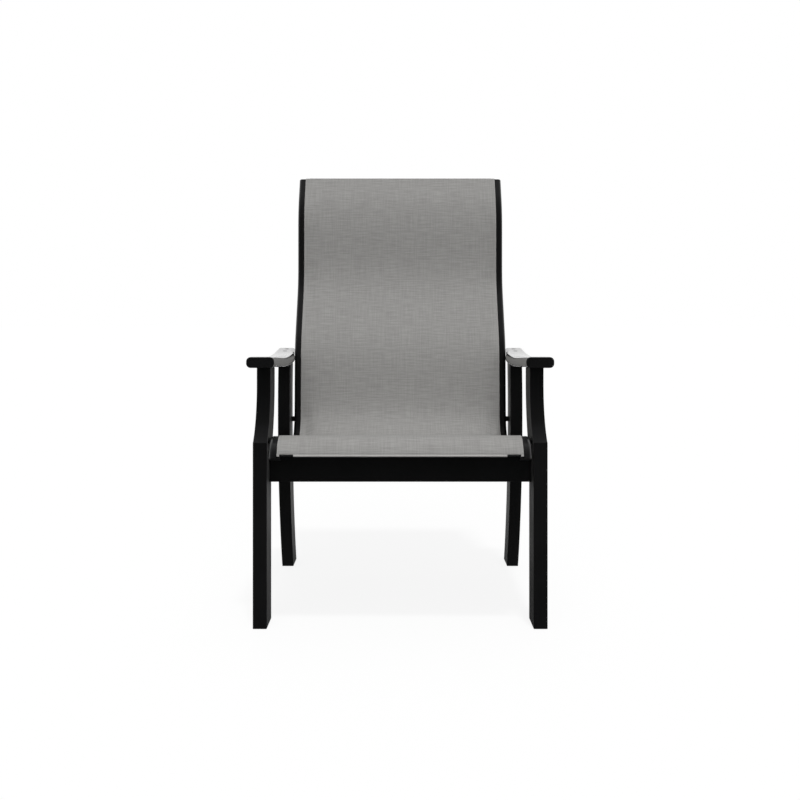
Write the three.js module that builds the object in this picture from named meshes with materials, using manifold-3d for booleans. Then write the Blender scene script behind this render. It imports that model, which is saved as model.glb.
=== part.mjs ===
// A sling patio chair with arms, in millimetres. +X is the sitter's left, +Y is the back and +Z is up.
// Two side frames of sawn boards stand on the floor. A front apron and a rear stretcher join them.
// One sheet of mesh fabric is stretched between two bent aluminium rails, which are the seat and the back.
// The rails hang between the side frames on four stand-offs, each with a bolt through a leg.
// Every piece is laid out from the front face of the front legs, and the finished group is then centred.
import * as THREE from "three";
import { mergeVertices } from "three/addons/utils/BufferGeometryUtils.js";
import Module from "manifold-3d";

const wasm = await Module();
wasm.setup();

// Common values
const fitGap = 0.3; // between pieces that touch
const overrun = 5; // how far a cutting tool passes a surface
const weldDistance = 0.001;
const holeSides = 10;
const headSides = 12;
const domeShare = 0.55; // of a bolt head's radius that is flat, and of its height that is domed

// Side frames
const clearWidth = 600.4; // between the inner faces of the legs
const boardThickness = 31.75;
const boardEase = 2; // chamfer along the sawn edges
const curveSteps = 8;

// Front legs
const frontLegDepth = 88;
const kneeHeight = 419; // where the front edge turns back
const postStraight = 53.25; // from the top of the swept stretch to the post's end inside the arm
const postSetback = 71; // from the front face to the post under the arm
const postDepth = 89;
const hockDrop = 45; // the rear edge turns this much lower than the front edge
const hockLead = 7; // and is upright again this much sooner
const kneeCurveShares = [
  [0.6, 0.2],
  [1, 0.57],
];
const hockCurveShares = [
  [0.23, 0.16],
  [0.93, 0.43],
];

// Rear legs
const rearLegDepth = 90; // measured level
const uprightSetback = 515; // from the front legs' front face to the rear legs' upright front edge
const flareHeight = 420; // the foot sweeps back below this height
const flareReach = 113; // how far the foot stands behind the upright
const flareCurveShares = [
  [0.53, 0.262],
  [1, 0.643],
];
const uprightRise = 34; // from there up to where the upright leans back
const leanReach = 15;
const leanCurveShares = [
  [0, 0.34],
  [0.4, 0.68],
];

// Arms
const armWidth = 63;
const armThickness = 24.5;
const armInnerOverhang = 18; // past the inner face of the legs
const armFrontOverhang = 84; // ahead of the front post
const armRearOverhang = 6; // behind the rear leg
const armFrontHeight = 612.5;
const armDip = 12; // below the front end
const armDipShare = 0.556; // of the arm's length
const armRearRise = 2; // above the front end
const armFrontCurveShares = [0.29, 0.69];
const armRearCurveShares = [
  [0.355, 0],
  [0.64, 0.29],
];
const armReliefReach = 121; // from the rear end of the arm to where its inner side starts to give way
const armReliefRun = 45; // length of the slanted part of the relief
const armReliefClearance = 1.5; // beside the rail
const noseSteps = 6;
const armSteps = 8;

// Boards between the legs
const apronSetback = 48;
const apronDrop = 95; // from the knee's height down to the lower edge
const apronHeight = 68.5;
const stretcherInset = 39; // behind the front edge of the rear legs' upright
const stretcherDrop = 164; // from the knee's height down to the lower edge
const stretcherHeight = 62;
const sideRailDrop = 97; // from the knee's height down to the lower edge
const sideRailHeight = 50;
const tenonThickness = 12;
const tenonLength = 26;
const tenonShoulder = 5;

// Sling rails: the section
const standOff = 8.5; // between a leg and a rail
const railWidth = 26;
const railDepth = 27;
const railWall = 2;
const railCrown = 8; // radius of the outer corner beside the fabric
const railCorner = 3;
const railCornerSteps = 2;
const railCrownSteps = 4;
const fabricInset = 18; // from the outer side of the rail to the edge of the fabric
const neckClearance = 0.7; // on each side of the fabric
const channelRadius = 3.6;
const channelDepth = 7; // from the face of the rail to the centre of the channel
const channelSteps = 8;

// Sling rails: the line of the seat and back, along the face that the fabric lies on
const frontCornerReach = 30; // ahead of the front legs
const frontCornerRise = 20; // above the knee
const frontDrop = 50.4;
const frontLean = THREE.MathUtils.degToRad(13.4);
const rollRadius = 54;
const seatRun = 590;
const seatSlope = THREE.MathUtils.degToRad(7.5);
const seatCornerRadius = 70;
const lumbarRise = 260;
const lumbarLean = THREE.MathUtils.degToRad(3.1);
const lumbarRadius = 160;
const middleRise = 180;
const middleLean = THREE.MathUtils.degToRad(29.2);
const shoulderRise = 204;
const shoulderLean = 0;
const shoulderRadius = 160;
const headRise = 92.6;
const headLean = THREE.MathUtils.degToRad(29.5);
const headRadius = 190;
const lineStep = THREE.MathUtils.degToRad(15);

// Fabric, its splines and the rod in its front hem
const fabricThickness = 1;
const splineRadius = 1.5;
const splineClearance = 0.5;
const splineSides = 8;
const hemRodRadius = 2;
const hemRodLift = 6.2; // from the front end of the rails
const hemPocketInset = 28; // from the rails to the ends of the pocket
const hemSides = 12;
const edgeLift = 3.5; // from the front end of the rails to the lower end of the fabric's sides
const topLip = 4.5; // the fabric stands this far past the top end of the rails
const edgeTopInset = 2;

// Rail end caps
const capPlate = 2.2;
const capPlug = 8;

// Bolts that carry the sling frame
const boltRadius = 4;
const boltHeadRadius = 7.5;
const boltHeadHeight = 4.4;
const boltRecess = 5; // of the head's seat below the leg's outer face
const headClearance = 1; // round a bolt head in its recess
const boltTipDepth = 11; // into the rail
const bossWall = 2.6;
const spacerRadius = 7;
const frontBoltSetback = 30;
const frontBoltDepth = 10.4; // below the face of the rail
const rearBoltDrop = 16.5; // from the height of the seat's front corner
const rearBoltDepth = 13.5;

// Spreaders between the rails
const spreaderRadius = 8;
const spreaderWall = 1.6;
const spreaderPlug = 18;
const spreaderDepth = 18.8; // below the face of the rail
const seatFrontSpreaderShare = 0.18; // of the seat's run
const seatRearSpreaderShare = 0.82;
const topSpreaderShare = 0.45; // of the head's rise
const spreaderBoltRadius = 3;
const spreaderBoltHeadRadius = 5.2;
const spreaderBoltHeadHeight = 3.3;
const spreaderBoltGrip = 14; // into the spreader

// Countersunk screws in the boards
const screwRadius = 2.8;
const screwHeadRadius = 5.6;
const screwHeadHeight = 3.2;
const screwLength = 75;
const screwRecess = 0.8; // of the head below the board
const screwMargin = 17; // from the edges of the apron and the stretcher
const armScrewMargin = 20; // from the edges of a leg's top

// Pan head screws through the rear tenons
const tenonScrewRadius = 2.4;
const tenonScrewHeadRadius = 4.6;
const tenonScrewHeadHeight = 2.6;
const tenonScrewLength = 26;
const tenonScrewInset = 13; // from the end of the tenon

// Places worked out from the sizes
const legInner = clearWidth / 2;
const legOuter = legInner + boardThickness;
const railOuter = legInner - standOff;
const railInner = railOuter - railWidth;
const fabricEdge = railOuter - fabricInset;
const grooveX = fabricEdge - fabricThickness / 2;
const fabricUnder = fitGap;
const fabricFace = fabricUnder + fabricThickness;
const armInner = legInner - armInnerOverhang;
const armOuter = armInner + armWidth;
const postBack = postSetback + postDepth;
const uprightTopSetback = uprightSetback + leanReach;
const armFront = postSetback - armFrontOverhang;
const armRear = uprightTopSetback + rearLegDepth + armRearOverhang;
const legTop = armFrontHeight - armThickness / 2;
const sweepTop = legTop - postStraight;
const leanHeight = flareHeight + uprightRise;
const apronBottom = kneeHeight - apronDrop;
const stretcherBottom = kneeHeight - stretcherDrop;
const sideRailBottom = kneeHeight - sideRailDrop;
const frontCornerHeight = kneeHeight + frontCornerRise;
const rearBoltHeight = frontCornerHeight - rearBoltDrop;

const boardMaterial = new THREE.MeshStandardMaterial({ color: 0x1b1b1d, roughness: 0.45, metalness: 0 });
const railMaterial = new THREE.MeshStandardMaterial({ color: 0x161617, roughness: 0.5, metalness: 0.2 });
const fabricMaterial = new THREE.MeshStandardMaterial({ color: 0x93938f, roughness: 0.85, metalness: 0 });
const plasticMaterial = new THREE.MeshStandardMaterial({ color: 0x141414, roughness: 0.55, metalness: 0 });
const splineMaterial = new THREE.MeshStandardMaterial({ color: 0x3a3a3a, roughness: 0.6, metalness: 0 });
const steelMaterial = new THREE.MeshStandardMaterial({ color: 0xb4b5b6, roughness: 0.35, metalness: 1 });

const chair = new THREE.Group();
const sides = [
  ["left", 1],
  ["right", -1],
];

/** Adds one named piece. */
function add(name, geometry, material, side = 1) {
  const mesh = new THREE.Mesh(geometry, material);
  mesh.name = name;
  mesh.scale.x = side;
  chair.add(mesh);
}

/** Adds a piece drawn on the left, and its mirror image on the right. */
function addPair(name, geometry, material) {
  for (const [sideName, side] of sides) add(`${name}_${sideName}`, geometry, material, side);
}

/** A closed geometry as a solid that can be joined and cut. */
function solidOf(geometry) {
  const bare = geometry.clone();
  bare.deleteAttribute("normal");
  bare.deleteAttribute("uv");
  const merged = mergeVertices(bare, weldDistance);
  return new wasm.Manifold(
    new wasm.Mesh({
      numProp: 3,
      vertProperties: merged.getAttribute("position").array,
      triVerts: new Uint32Array(merged.getIndex().array),
    }),
  );
}

/** A solid as a geometry again. */
function geometryOf(solid) {
  const { vertProperties, triVerts } = solid.getMesh();
  const geometry = new THREE.BufferGeometry();
  geometry.setAttribute("position", new THREE.BufferAttribute(vertProperties, 3));
  geometry.setIndex(new THREE.BufferAttribute(triVerts, 1));
  geometry.computeVertexNormals();
  return geometry;
}

/** Several overlapping geometries as one. */
function join(...pieces) {
  return geometryOf(pieces.map(solidOf).reduce((whole, piece) => whole.add(piece)));
}

/** A geometry with the space of the tools taken out of it. */
function cut(piece, ...tools) {
  return geometryOf(tools.map(solidOf).reduce((rest, tool) => rest.subtract(tool), solidOf(piece)));
}

/** An outline in Y and Z, carried across from x0 to x1, with its edges chamfered by ease. */
function board(outline, x0, x1, ease = 0) {
  const geometry = new THREE.ExtrudeGeometry(outline, {
    depth: x1 - x0 - 2 * ease,
    curveSegments: curveSteps,
    bevelEnabled: ease > 0,
    bevelSegments: 1,
    bevelSize: ease,
    bevelOffset: -ease,
    bevelThickness: ease,
  });
  geometry.translate(0, 0, x0 + ease);
  const across = new THREE.Matrix4().makeBasis(
    new THREE.Vector3(0, 1, 0),
    new THREE.Vector3(0, 0, 1),
    new THREE.Vector3(1, 0, 0),
  );
  return geometry.applyMatrix4(across);
}

/** A rectangle in Y and Z, with its corners cut off by ease. */
function rectangle(y0, y1, z0, z1, ease = 0) {
  const shape = new THREE.Shape();
  shape.moveTo(y0 + ease, z0);
  shape.lineTo(y1 - ease, z0);
  shape.lineTo(y1, z0 + ease);
  shape.lineTo(y1, z1 - ease);
  shape.lineTo(y1 - ease, z1);
  shape.lineTo(y0 + ease, z1);
  shape.lineTo(y0, z1 - ease);
  shape.lineTo(y0, z0 + ease);
  shape.closePath();
  return shape;
}

/** A block between two corners. */
function block(x0, x1, y0, y1, z0, z1) {
  return new THREE.BoxGeometry(x1 - x0, y1 - y0, z1 - z0).translate(
    (x0 + x1) / 2,
    (y0 + y1) / 2,
    (z0 + z1) / 2,
  );
}

/** A round bar along X. */
function bar(x0, x1, centre, radius, barSides = holeSides) {
  return new THREE.CylinderGeometry(radius, radius, x1 - x0, barSides)
    .rotateZ(-Math.PI / 2)
    .translate((x0 + x1) / 2, centre.x, centre.y);
}

/** Points along an arc, both ends included. */
function arc(centreX, centreY, radius, from, to, steps) {
  return Array.from({ length: steps + 1 }, (_, i) => {
    const angle = from + ((to - from) * i) / steps;
    return new THREE.Vector2(centreX + radius * Math.cos(angle), centreY + radius * Math.sin(angle));
  });
}

/** A closed ring of points, anticlockwise. */
function circle(centreX, centreY, radius, circleSides) {
  return arc(centreX, centreY, radius, 0, 2 * Math.PI, circleSides).slice(0, circleSides);
}

/** The normals of a line in Y and Z, on its upper side, stretched at each bend to keep a section's size. */
function mitres(line) {
  const normals = line.slice(1).map((point, i) => {
    const along = point.clone().sub(line[i]).normalize();
    return new THREE.Vector2(-along.y, along.x);
  });
  return line.map((_, i) => {
    const before = normals[Math.max(i - 1, 0)];
    const after = normals[Math.min(i, normals.length - 1)];
    return before
      .clone()
      .add(after)
      .divideScalar(1 + before.dot(after));
  });
}

/** An anticlockwise section, in X and in height above the line, carried along a line in Y and Z. */
function sweep(line, outline, holes = []) {
  const upward = mitres(line);
  const rings = [outline, ...holes];
  const ringPoints = rings.flat();
  const positions = line.flatMap((point, i) =>
    ringPoints.flatMap((p) => [p.x, point.x + p.y * upward[i].x, point.y + p.y * upward[i].y]),
  );
  const indices = [];
  const count = ringPoints.length;
  let first = 0;
  for (const ring of rings) {
    for (let station = 0; station < line.length - 1; station++) {
      for (let j = 0; j < ring.length; j++) {
        const near = station * count + first + j;
        const next = station * count + first + ((j + 1) % ring.length);
        indices.push(near, near + count, next + count, near, next + count, next);
      }
    }
    first += ring.length;
  }
  const last = (line.length - 1) * count;
  for (const [a, b, c] of THREE.ShapeUtils.triangulateShape(outline, holes)) {
    indices.push(a, b, c, last + a, last + c, last + b);
  }
  const geometry = new THREE.BufferGeometry();
  geometry.setAttribute("position", new THREE.Float32BufferAttribute(positions, 3));
  geometry.setIndex(indices);
  geometry.computeVertexNormals();
  return geometry;
}

/** A turned piece that points down from the origin. A step is a radius and a depth. */
function turned(steps) {
  const profile = steps.map(([radius, depth]) => new THREE.Vector2(radius, -depth)).reverse();
  return new THREE.LatheGeometry(profile, headSides);
}

/** A bolt or screw with a domed head. */
function domed(shankRadius, headRadius, headHeight, length) {
  return turned([
    [0, 0],
    [headRadius * domeShare, 0],
    [headRadius, headHeight * domeShare],
    [headRadius, headHeight],
    [shankRadius, headHeight],
    [shankRadius, length],
    [0, length],
  ]);
}

/** A countersunk screw. */
function countersunk() {
  return turned([
    [0, 0],
    [screwHeadRadius, 0],
    [screwRadius, screwHeadHeight],
    [screwRadius, screwLength],
    [0, screwLength],
  ]);
}

/** The hole for a countersunk screw, open above its head. */
function countersunkHole() {
  const head = screwHeadRadius + fitGap;
  const shank = screwRadius + fitGap;
  return turned([
    [0, -overrun],
    [head, -overrun],
    [head, 0],
    [shank, screwHeadHeight],
    [shank, screwLength + fitGap],
    [0, screwLength + fitGap],
  ]);
}

/** Turns a fastener that points down so that it points inwards, from a face on the left side. */
function inward(geometry, x, centre) {
  return geometry.rotateZ(-Math.PI / 2).translate(x, centre.x, centre.y);
}

/** Turns a fastener that points down so that it points outwards, from a face on the left side. */
function outward(geometry, x, centre) {
  return geometry.rotateZ(Math.PI / 2).translate(x, centre.x, centre.y);
}

/** A place between two others, by a share in Y and a share in Z. */
function between(from, to, [shareY, shareZ]) {
  return [THREE.MathUtils.lerp(from.x, to.x, shareY), THREE.MathUtils.lerp(from.y, to.y, shareZ)];
}

/** Carries a shape's edge on by a curve from one place to another, with its two handles given as shares. */
function curveTo(shape, from, to, [firstShares, secondShares]) {
  shape.bezierCurveTo(...between(from, to, firstShares), ...between(from, to, secondShares), to.x, to.y);
}

/** The same handles for a curve that is drawn from its far end. */
function reversed([firstShares, secondShares]) {
  return [secondShares.map((share) => 1 - share), firstShares.map((share) => 1 - share)];
}

/** The line of the arm's top, from its front end to its rear end. */
function armTopLine() {
  const front = new THREE.Vector2(armFront, armFrontHeight);
  const dip = new THREE.Vector2(
    THREE.MathUtils.lerp(armFront, armRear, armDipShare),
    armFrontHeight - armDip,
  );
  const rear = new THREE.Vector2(armRear, armFrontHeight + armRearRise);
  const path = new THREE.Path();
  path.moveTo(front.x, front.y);
  const [firstShare, secondShare] = armFrontCurveShares;
  curveTo(path, front, dip, [
    [firstShare, 0],
    [secondShare, 1],
  ]);
  curveTo(path, dip, rear, armRearCurveShares);
  return path.getPoints(armSteps);
}

const armLine = armTopLine();

/** The height of a line at a given setback. */
function heightAt(line, setback) {
  const i = line.findIndex((point) => point.x >= setback);
  const before = line[i - 1];
  const after = line[i];
  return THREE.MathUtils.mapLinear(setback, before.x, after.x, before.y, after.y);
}

/** The arm's section: flat faces between two rounded edges. */
function armSection() {
  const radius = armThickness / 2;
  return [
    ...arc(armInner + radius, -radius, radius, Math.PI / 2, (3 * Math.PI) / 2, noseSteps),
    ...arc(armOuter - radius, -radius, radius, -Math.PI / 2, Math.PI / 2, noseSteps),
  ];
}

/** The space that an arm and its fit take from the top of a leg. */
function armSpace() {
  return sweep(armLine, [
    new THREE.Vector2(legInner - overrun, -armThickness - fitGap),
    new THREE.Vector2(legOuter + overrun, -armThickness - fitGap),
    new THREE.Vector2(legOuter + overrun, armThickness),
    new THREE.Vector2(legInner - overrun, armThickness),
  ]);
}

/** The front leg, upright to its knee and then swept back to the post under the arm. */
function frontLegOutline() {
  const knee = new THREE.Vector2(0, kneeHeight);
  const post = new THREE.Vector2(postSetback, sweepTop);
  const hock = new THREE.Vector2(frontLegDepth, kneeHeight - hockDrop);
  const postRear = new THREE.Vector2(postBack, sweepTop - hockLead);
  const shape = new THREE.Shape();
  shape.moveTo(0, 0);
  shape.lineTo(frontLegDepth, 0);
  shape.lineTo(hock.x, hock.y);
  curveTo(shape, hock, postRear, hockCurveShares);
  shape.lineTo(postBack, legTop);
  shape.lineTo(postSetback, legTop);
  shape.lineTo(post.x, post.y);
  curveTo(shape, post, knee, reversed(kneeCurveShares));
  shape.closePath();
  return shape;
}

/** The rear leg, moved forward by shift to leave a fit for what meets its front edge. */
function rearLegOutline(shift = 0) {
  const foot = new THREE.Vector2(uprightSetback + flareReach - shift, 0);
  const flareTop = new THREE.Vector2(uprightSetback - shift, flareHeight);
  const leanFoot = new THREE.Vector2(uprightSetback - shift, leanHeight);
  const top = new THREE.Vector2(uprightTopSetback - shift, legTop);
  const rearOf = (point) => new THREE.Vector2(point.x + rearLegDepth, point.y);
  const shape = new THREE.Shape();
  shape.moveTo(foot.x, foot.y);
  shape.lineTo(rearOf(foot).x, foot.y);
  curveTo(shape, rearOf(foot), rearOf(flareTop), flareCurveShares);
  shape.lineTo(rearOf(leanFoot).x, leanFoot.y);
  curveTo(shape, rearOf(leanFoot), rearOf(top), leanCurveShares);
  shape.lineTo(top.x, top.y);
  curveTo(shape, top, leanFoot, reversed(leanCurveShares));
  shape.lineTo(flareTop.x, flareTop.y);
  curveTo(shape, flareTop, foot, reversed(flareCurveShares));
  shape.closePath();
  return shape;
}

/** A line through corners, each rounded by its radius. A corner is [setback, height, radius]. */
function roundedLine(corners) {
  const places = corners.map(([setback, height]) => new THREE.Vector2(setback, height));
  return corners.flatMap(([, , radius], i) => {
    if (i === 0 || i === corners.length - 1) return [places[i]];
    const arriving = places[i].clone().sub(places[i - 1]).normalize();
    const leaving = places[i + 1].clone().sub(places[i]).normalize();
    const turn = Math.atan2(arriving.cross(leaving), arriving.dot(leaving));
    const side = Math.sign(turn);
    const start = places[i].clone().addScaledVector(arriving, -radius * Math.tan(Math.abs(turn) / 2));
    const toCentre = new THREE.Vector2(-arriving.y, arriving.x).multiplyScalar(side * radius);
    const centre = start.clone().add(toCentre);
    const from = Math.atan2(-toCentre.y, -toCentre.x);
    return arc(centre.x, centre.y, radius, from, from + turn, Math.ceil(Math.abs(turn) / lineStep));
  });
}

/** The next corner of the back, up by a rise at a lean. */
function upFrom([setback, height], rise, lean, radius) {
  return [setback + rise * Math.tan(lean), height + rise, radius];
}

const frontCorner = [-frontCornerReach, frontCornerHeight, rollRadius];
const frontEnd = [
  frontCorner[0] - frontDrop * Math.sin(frontLean),
  frontCornerHeight - frontDrop * Math.cos(frontLean),
  0,
];
const seatCorner = [
  frontCorner[0] + seatRun * Math.cos(seatSlope),
  frontCornerHeight - seatRun * Math.sin(seatSlope),
  seatCornerRadius,
];
const lumbarCorner = upFrom(seatCorner, lumbarRise, lumbarLean, lumbarRadius);
const middleCorner = upFrom(lumbarCorner, middleRise, middleLean, shoulderRadius);
const neckCorner = upFrom(middleCorner, shoulderRise, shoulderLean, headRadius);
const topEnd = upFrom(neckCorner, headRise, headLean, 0);
const slingLine = roundedLine([
  frontEnd,
  frontCorner,
  seatCorner,
  lumbarCorner,
  middleCorner,
  neckCorner,
  topEnd,
]);
const slingDistances = slingLine.map((_, i) =>
  slingLine.slice(1, i + 1).reduce((sum, point, j) => sum + point.distanceTo(slingLine[j]), 0),
);
const slingLength = slingDistances.at(-1);

/** The place on the sling line at a distance from its front end. It runs on straight past either end. */
function placeAt(distance) {
  const reached = slingDistances.slice(0, -1).filter((passed) => passed <= distance).length;
  const after = Math.max(reached, 1);
  const before = after - 1;
  const share = (distance - slingDistances[before]) / (slingDistances[after] - slingDistances[before]);
  return slingLine[before].clone().lerp(slingLine[after], share);
}

/** The part of the sling line between two distances. */
function stretch(from, to) {
  const inside = slingLine.filter((_, i) => slingDistances[i] > from && slingDistances[i] < to);
  return [placeAt(from), ...inside, placeAt(to)];
}

/** The place below the face of the rail where the line first has the given value, past a start. */
function railPlace(key, value, depth, start) {
  const over = slingLine.map((point) => point[key] >= value);
  const i = over.findIndex((state, j) => j > start && state !== over[j - 1]);
  const before = slingLine[i - 1];
  const after = slingLine[i];
  const share = (value - before[key]) / (after[key] - before[key]);
  const along = after.clone().sub(before).normalize();
  return before.clone().lerp(after, share).addScaledVector(new THREE.Vector2(along.y, -along.x), depth);
}

const neckHalf = fabricThickness / 2 + neckClearance;
const hollowSide = grooveX + channelRadius + railWall;
const hollowStep = channelDepth + channelRadius + railWall;

/** The rail's outline without its groove. */
function railBlank() {
  const corner = railCorner;
  const inner = railInner + corner;
  const outer = railOuter - corner;
  const lower = corner - railDepth;
  return [
    ...arc(inner, lower, corner, -Math.PI, -Math.PI / 2, railCornerSteps),
    ...arc(outer, lower, corner, -Math.PI / 2, 0, railCornerSteps),
    ...arc(railOuter - railCrown, -railCrown, railCrown, 0, Math.PI / 2, railCrownSteps),
    ...arc(inner, -corner, corner, Math.PI / 2, Math.PI, railCornerSteps),
  ];
}

/** The rail's outline with the channel that holds the fabric and its spline. */
function railSection() {
  const blank = railBlank();
  const opening = Math.acos(neckHalf / channelRadius);
  const groove = [
    new THREE.Vector2(grooveX + neckHalf, 0),
    ...arc(grooveX, -channelDepth, channelRadius, opening, -Math.PI - opening, channelSteps),
    new THREE.Vector2(grooveX - neckHalf, 0),
  ];
  const lastCorner = railCornerSteps + 1;
  return [...blank.slice(0, -lastCorner), ...groove, ...blank.slice(-lastCorner)];
}

/** The hollow inside the rail, made smaller all round by an inset. */
function railHollow(inset = 0) {
  const wall = railWall + inset;
  const crown = arc(
    railOuter - railCrown,
    -railCrown,
    railCrown - wall,
    0,
    Math.PI / 2,
    railCornerSteps,
  );
  return [
    new THREE.Vector2(railInner + wall, wall - railDepth),
    new THREE.Vector2(railOuter - wall, wall - railDepth),
    ...crown,
    new THREE.Vector2(hollowSide + inset, -wall),
    new THREE.Vector2(hollowSide + inset, -hollowStep - inset),
    new THREE.Vector2(railInner + wall, -hollowStep - inset),
  ];
}

/** A plug that closes one end of a rail: a plate outside the end, and a tongue in the hollow. */
function railCap(plateFrom, plateTo, tongueFrom, tongueTo) {
  return join(
    sweep(stretch(plateFrom, plateTo), railBlank()),
    sweep(stretch(tongueFrom, tongueTo), railHollow(fitGap)),
  );
}

const frontBoltPlace = railPlace("x", frontBoltSetback, frontBoltDepth, 1);
const seatEnd = slingLine.findIndex((point) => point.x > seatCorner[0] - seatCornerRadius);
const rearBoltPlace = railPlace("y", rearBoltHeight, rearBoltDepth, seatEnd);
const boltPlaces = [frontBoltPlace, rearBoltPlace];

/** The setback of a share of the seat's run. */
function seatSetback(share) {
  return THREE.MathUtils.lerp(frontCorner[0], seatCorner[0], share);
}

const spreaderPlaces = {
  seat_front_spreader: railPlace("x", seatSetback(seatFrontSpreaderShare), spreaderDepth, 1),
  seat_rear_spreader: railPlace("x", seatSetback(seatRearSpreaderShare), spreaderDepth, 1),
  back_top_spreader: railPlace("y", neckCorner[1] + topSpreaderShare * headRise, spreaderDepth, seatEnd),
};

/** A bored boss that takes the thread of a sling bolt, inside the rail. */
function railBoss(place) {
  const radius = boltRadius + fitGap + bossWall;
  return bar(hollowSide - railWall / 2, railOuter - railWall / 2, place, radius);
}

/** The hole for a sling bolt, between two places across the chair. */
function boltHole(x0, x1, place) {
  return bar(x0, x1, place, boltRadius + fitGap);
}

/** The hole for a spreader's bolt in the rail's inner wall, and the wider one that lets its head in. */
function spreaderBoltHoles(place) {
  return [
    bar(railInner - overrun, railInner + 2 * railWall, place, spreaderBoltRadius + fitGap),
    bar(railOuter - 2 * railWall, railOuter + overrun, place, spreaderBoltHeadRadius + headClearance),
  ];
}

/** The left rail, with its two bosses and all its bolt holes. */
function slingRail() {
  const boltHoleEnd = railOuter - boltTipDepth - fitGap;
  return cut(
    join(sweep(slingLine, railSection(), [railHollow().reverse()]), ...boltPlaces.map(railBoss)),
    ...boltPlaces.map((place) => boltHole(boltHoleEnd, railOuter + overrun, place)),
    ...Object.values(spreaderPlaces).flatMap(spreaderBoltHoles),
  );
}

/** The centre of the front hem's rod, with the pocket's outer side level with the face of the fabric. */
const hemRing = hemRodRadius + fitGap + fabricThickness;
const [hemPoint, hemNext] = stretch(hemRodLift, slingLength);
const hemAlong = hemNext.clone().sub(hemPoint).normalize();
const hemPlace = hemPoint
  .clone()
  .addScaledVector(new THREE.Vector2(-hemAlong.y, hemAlong.x), fabricFace - hemRing);

/** One side of the fabric: it turns down into the groove and round the spline. */
function fabricSide() {
  const half = fabricThickness / 2;
  const bore = splineRadius + splineClearance;
  const ring = bore + fabricThickness;
  const opening = Math.acos(half / ring);
  const middle = (fabricUnder + fabricFace) / 2;
  return sweep(
    stretch(edgeLift, slingLength - edgeTopInset),
    [
      new THREE.Vector2(grooveX - half, middle),
      ...arc(grooveX, -channelDepth, ring, Math.PI - opening, 2 * Math.PI + opening, splineSides),
      new THREE.Vector2(grooveX + half, middle),
    ],
    [circle(grooveX, -channelDepth, bore, splineSides).reverse()],
  );
}

/** The whole sheet, with its two sides and the pocket in its front hem. */
function slingFabric() {
  const sheet = sweep(stretch(hemRodLift, slingLength + topLip), [
    new THREE.Vector2(-fabricEdge, fabricUnder),
    new THREE.Vector2(fabricEdge, fabricUnder),
    new THREE.Vector2(fabricEdge, fabricFace),
    new THREE.Vector2(-fabricEdge, fabricFace),
  ]);
  const pocketEnd = railInner - hemPocketInset;
  const pocket = bar(-pocketEnd, pocketEnd, hemPlace, hemRing, hemSides);
  const pocketBore = bar(
    -pocketEnd - overrun,
    pocketEnd + overrun,
    hemPlace,
    hemRodRadius + fitGap,
    hemSides,
  );
  const side = fabricSide();
  const otherSide = geometryOf(solidOf(side).mirror([1, 0, 0]));
  return cut(join(sheet, side, otherSide, pocket), pocketBore);
}

/** A tube between the rails, with solid ends that take the thread of its two bolts. */
function spreader(place) {
  const end = railInner - fitGap;
  return cut(
    bar(-end, end, place, spreaderRadius, headSides),
    bar(spreaderPlug - end, end - spreaderPlug, place, spreaderRadius - spreaderWall, headSides),
    bar(-end - overrun, end + overrun, place, spreaderBoltRadius + fitGap),
  );
}

// The holes and joints of the left side frame
const tenonInner = (legInner + legOuter - tenonThickness) / 2;
const tenonOuter = tenonInner + tenonThickness;
const tenonFront = frontLegDepth - tenonLength;
const tenonRear = uprightSetback + tenonLength;
const tenonBottom = sideRailBottom + tenonShoulder;
const tenonTop = sideRailBottom + sideRailHeight - tenonShoulder;
const tenonScrewPlace = new THREE.Vector2(tenonRear - tenonScrewInset, (tenonBottom + tenonTop) / 2);
const apronMiddle = apronSetback + boardThickness / 2;
const stretcherMiddle = uprightSetback + stretcherInset + boardThickness / 2;
const apronScrewPlaces = {
  lower: new THREE.Vector2(apronMiddle, apronBottom + screwMargin),
  upper: new THREE.Vector2(apronMiddle, apronBottom + apronHeight - screwMargin),
};
const stretcherScrewPlaces = {
  lower: new THREE.Vector2(stretcherMiddle, stretcherBottom + screwMargin),
  upper: new THREE.Vector2(stretcherMiddle, stretcherBottom + stretcherHeight - screwMargin),
};
const armScrewSetbacks = {
  front_first: postSetback + armScrewMargin,
  front_second: postBack - armScrewMargin,
  rear_first: uprightTopSetback + armScrewMargin,
  rear_second: uprightTopSetback + rearLegDepth - armScrewMargin,
};

/** Sets a countersunk screw or its hole into the outer face of the left legs. */
function acrossLeg(geometry, place) {
  return inward(geometry, legOuter - screwRecess, place);
}

/** Sets a countersunk screw or its hole into the top of the left arm. */
function downArm(geometry, setback) {
  return geometry
    .rotateX(Math.PI / 2)
    .translate((legInner + legOuter) / 2, setback, heightAt(armLine, setback) - screwRecess);
}

/** The hole for a screw through a rear tenon. */
function tenonScrewHole() {
  const end = legInner + tenonScrewLength;
  return bar(legInner - overrun, end, tenonScrewPlace, tenonScrewRadius + fitGap);
}

/** The slot for a tenon, between two setbacks. */
function mortise(from, to) {
  return block(
    tenonInner - fitGap,
    tenonOuter + fitGap,
    from,
    to,
    tenonBottom - fitGap,
    tenonTop + fitGap,
  );
}

/** The hole through a leg for a sling bolt, with the recess for its head. */
function legBoltHoles(place) {
  return [
    boltHole(legInner - overrun, legOuter, place),
    bar(legOuter - boltRecess, legOuter + overrun, place, boltHeadRadius + headClearance),
  ];
}

/** The holes for the arm screws over one leg. */
function armScrewHoles(...names) {
  return names.map((name) => downArm(countersunkHole(), armScrewSetbacks[name]));
}

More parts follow.
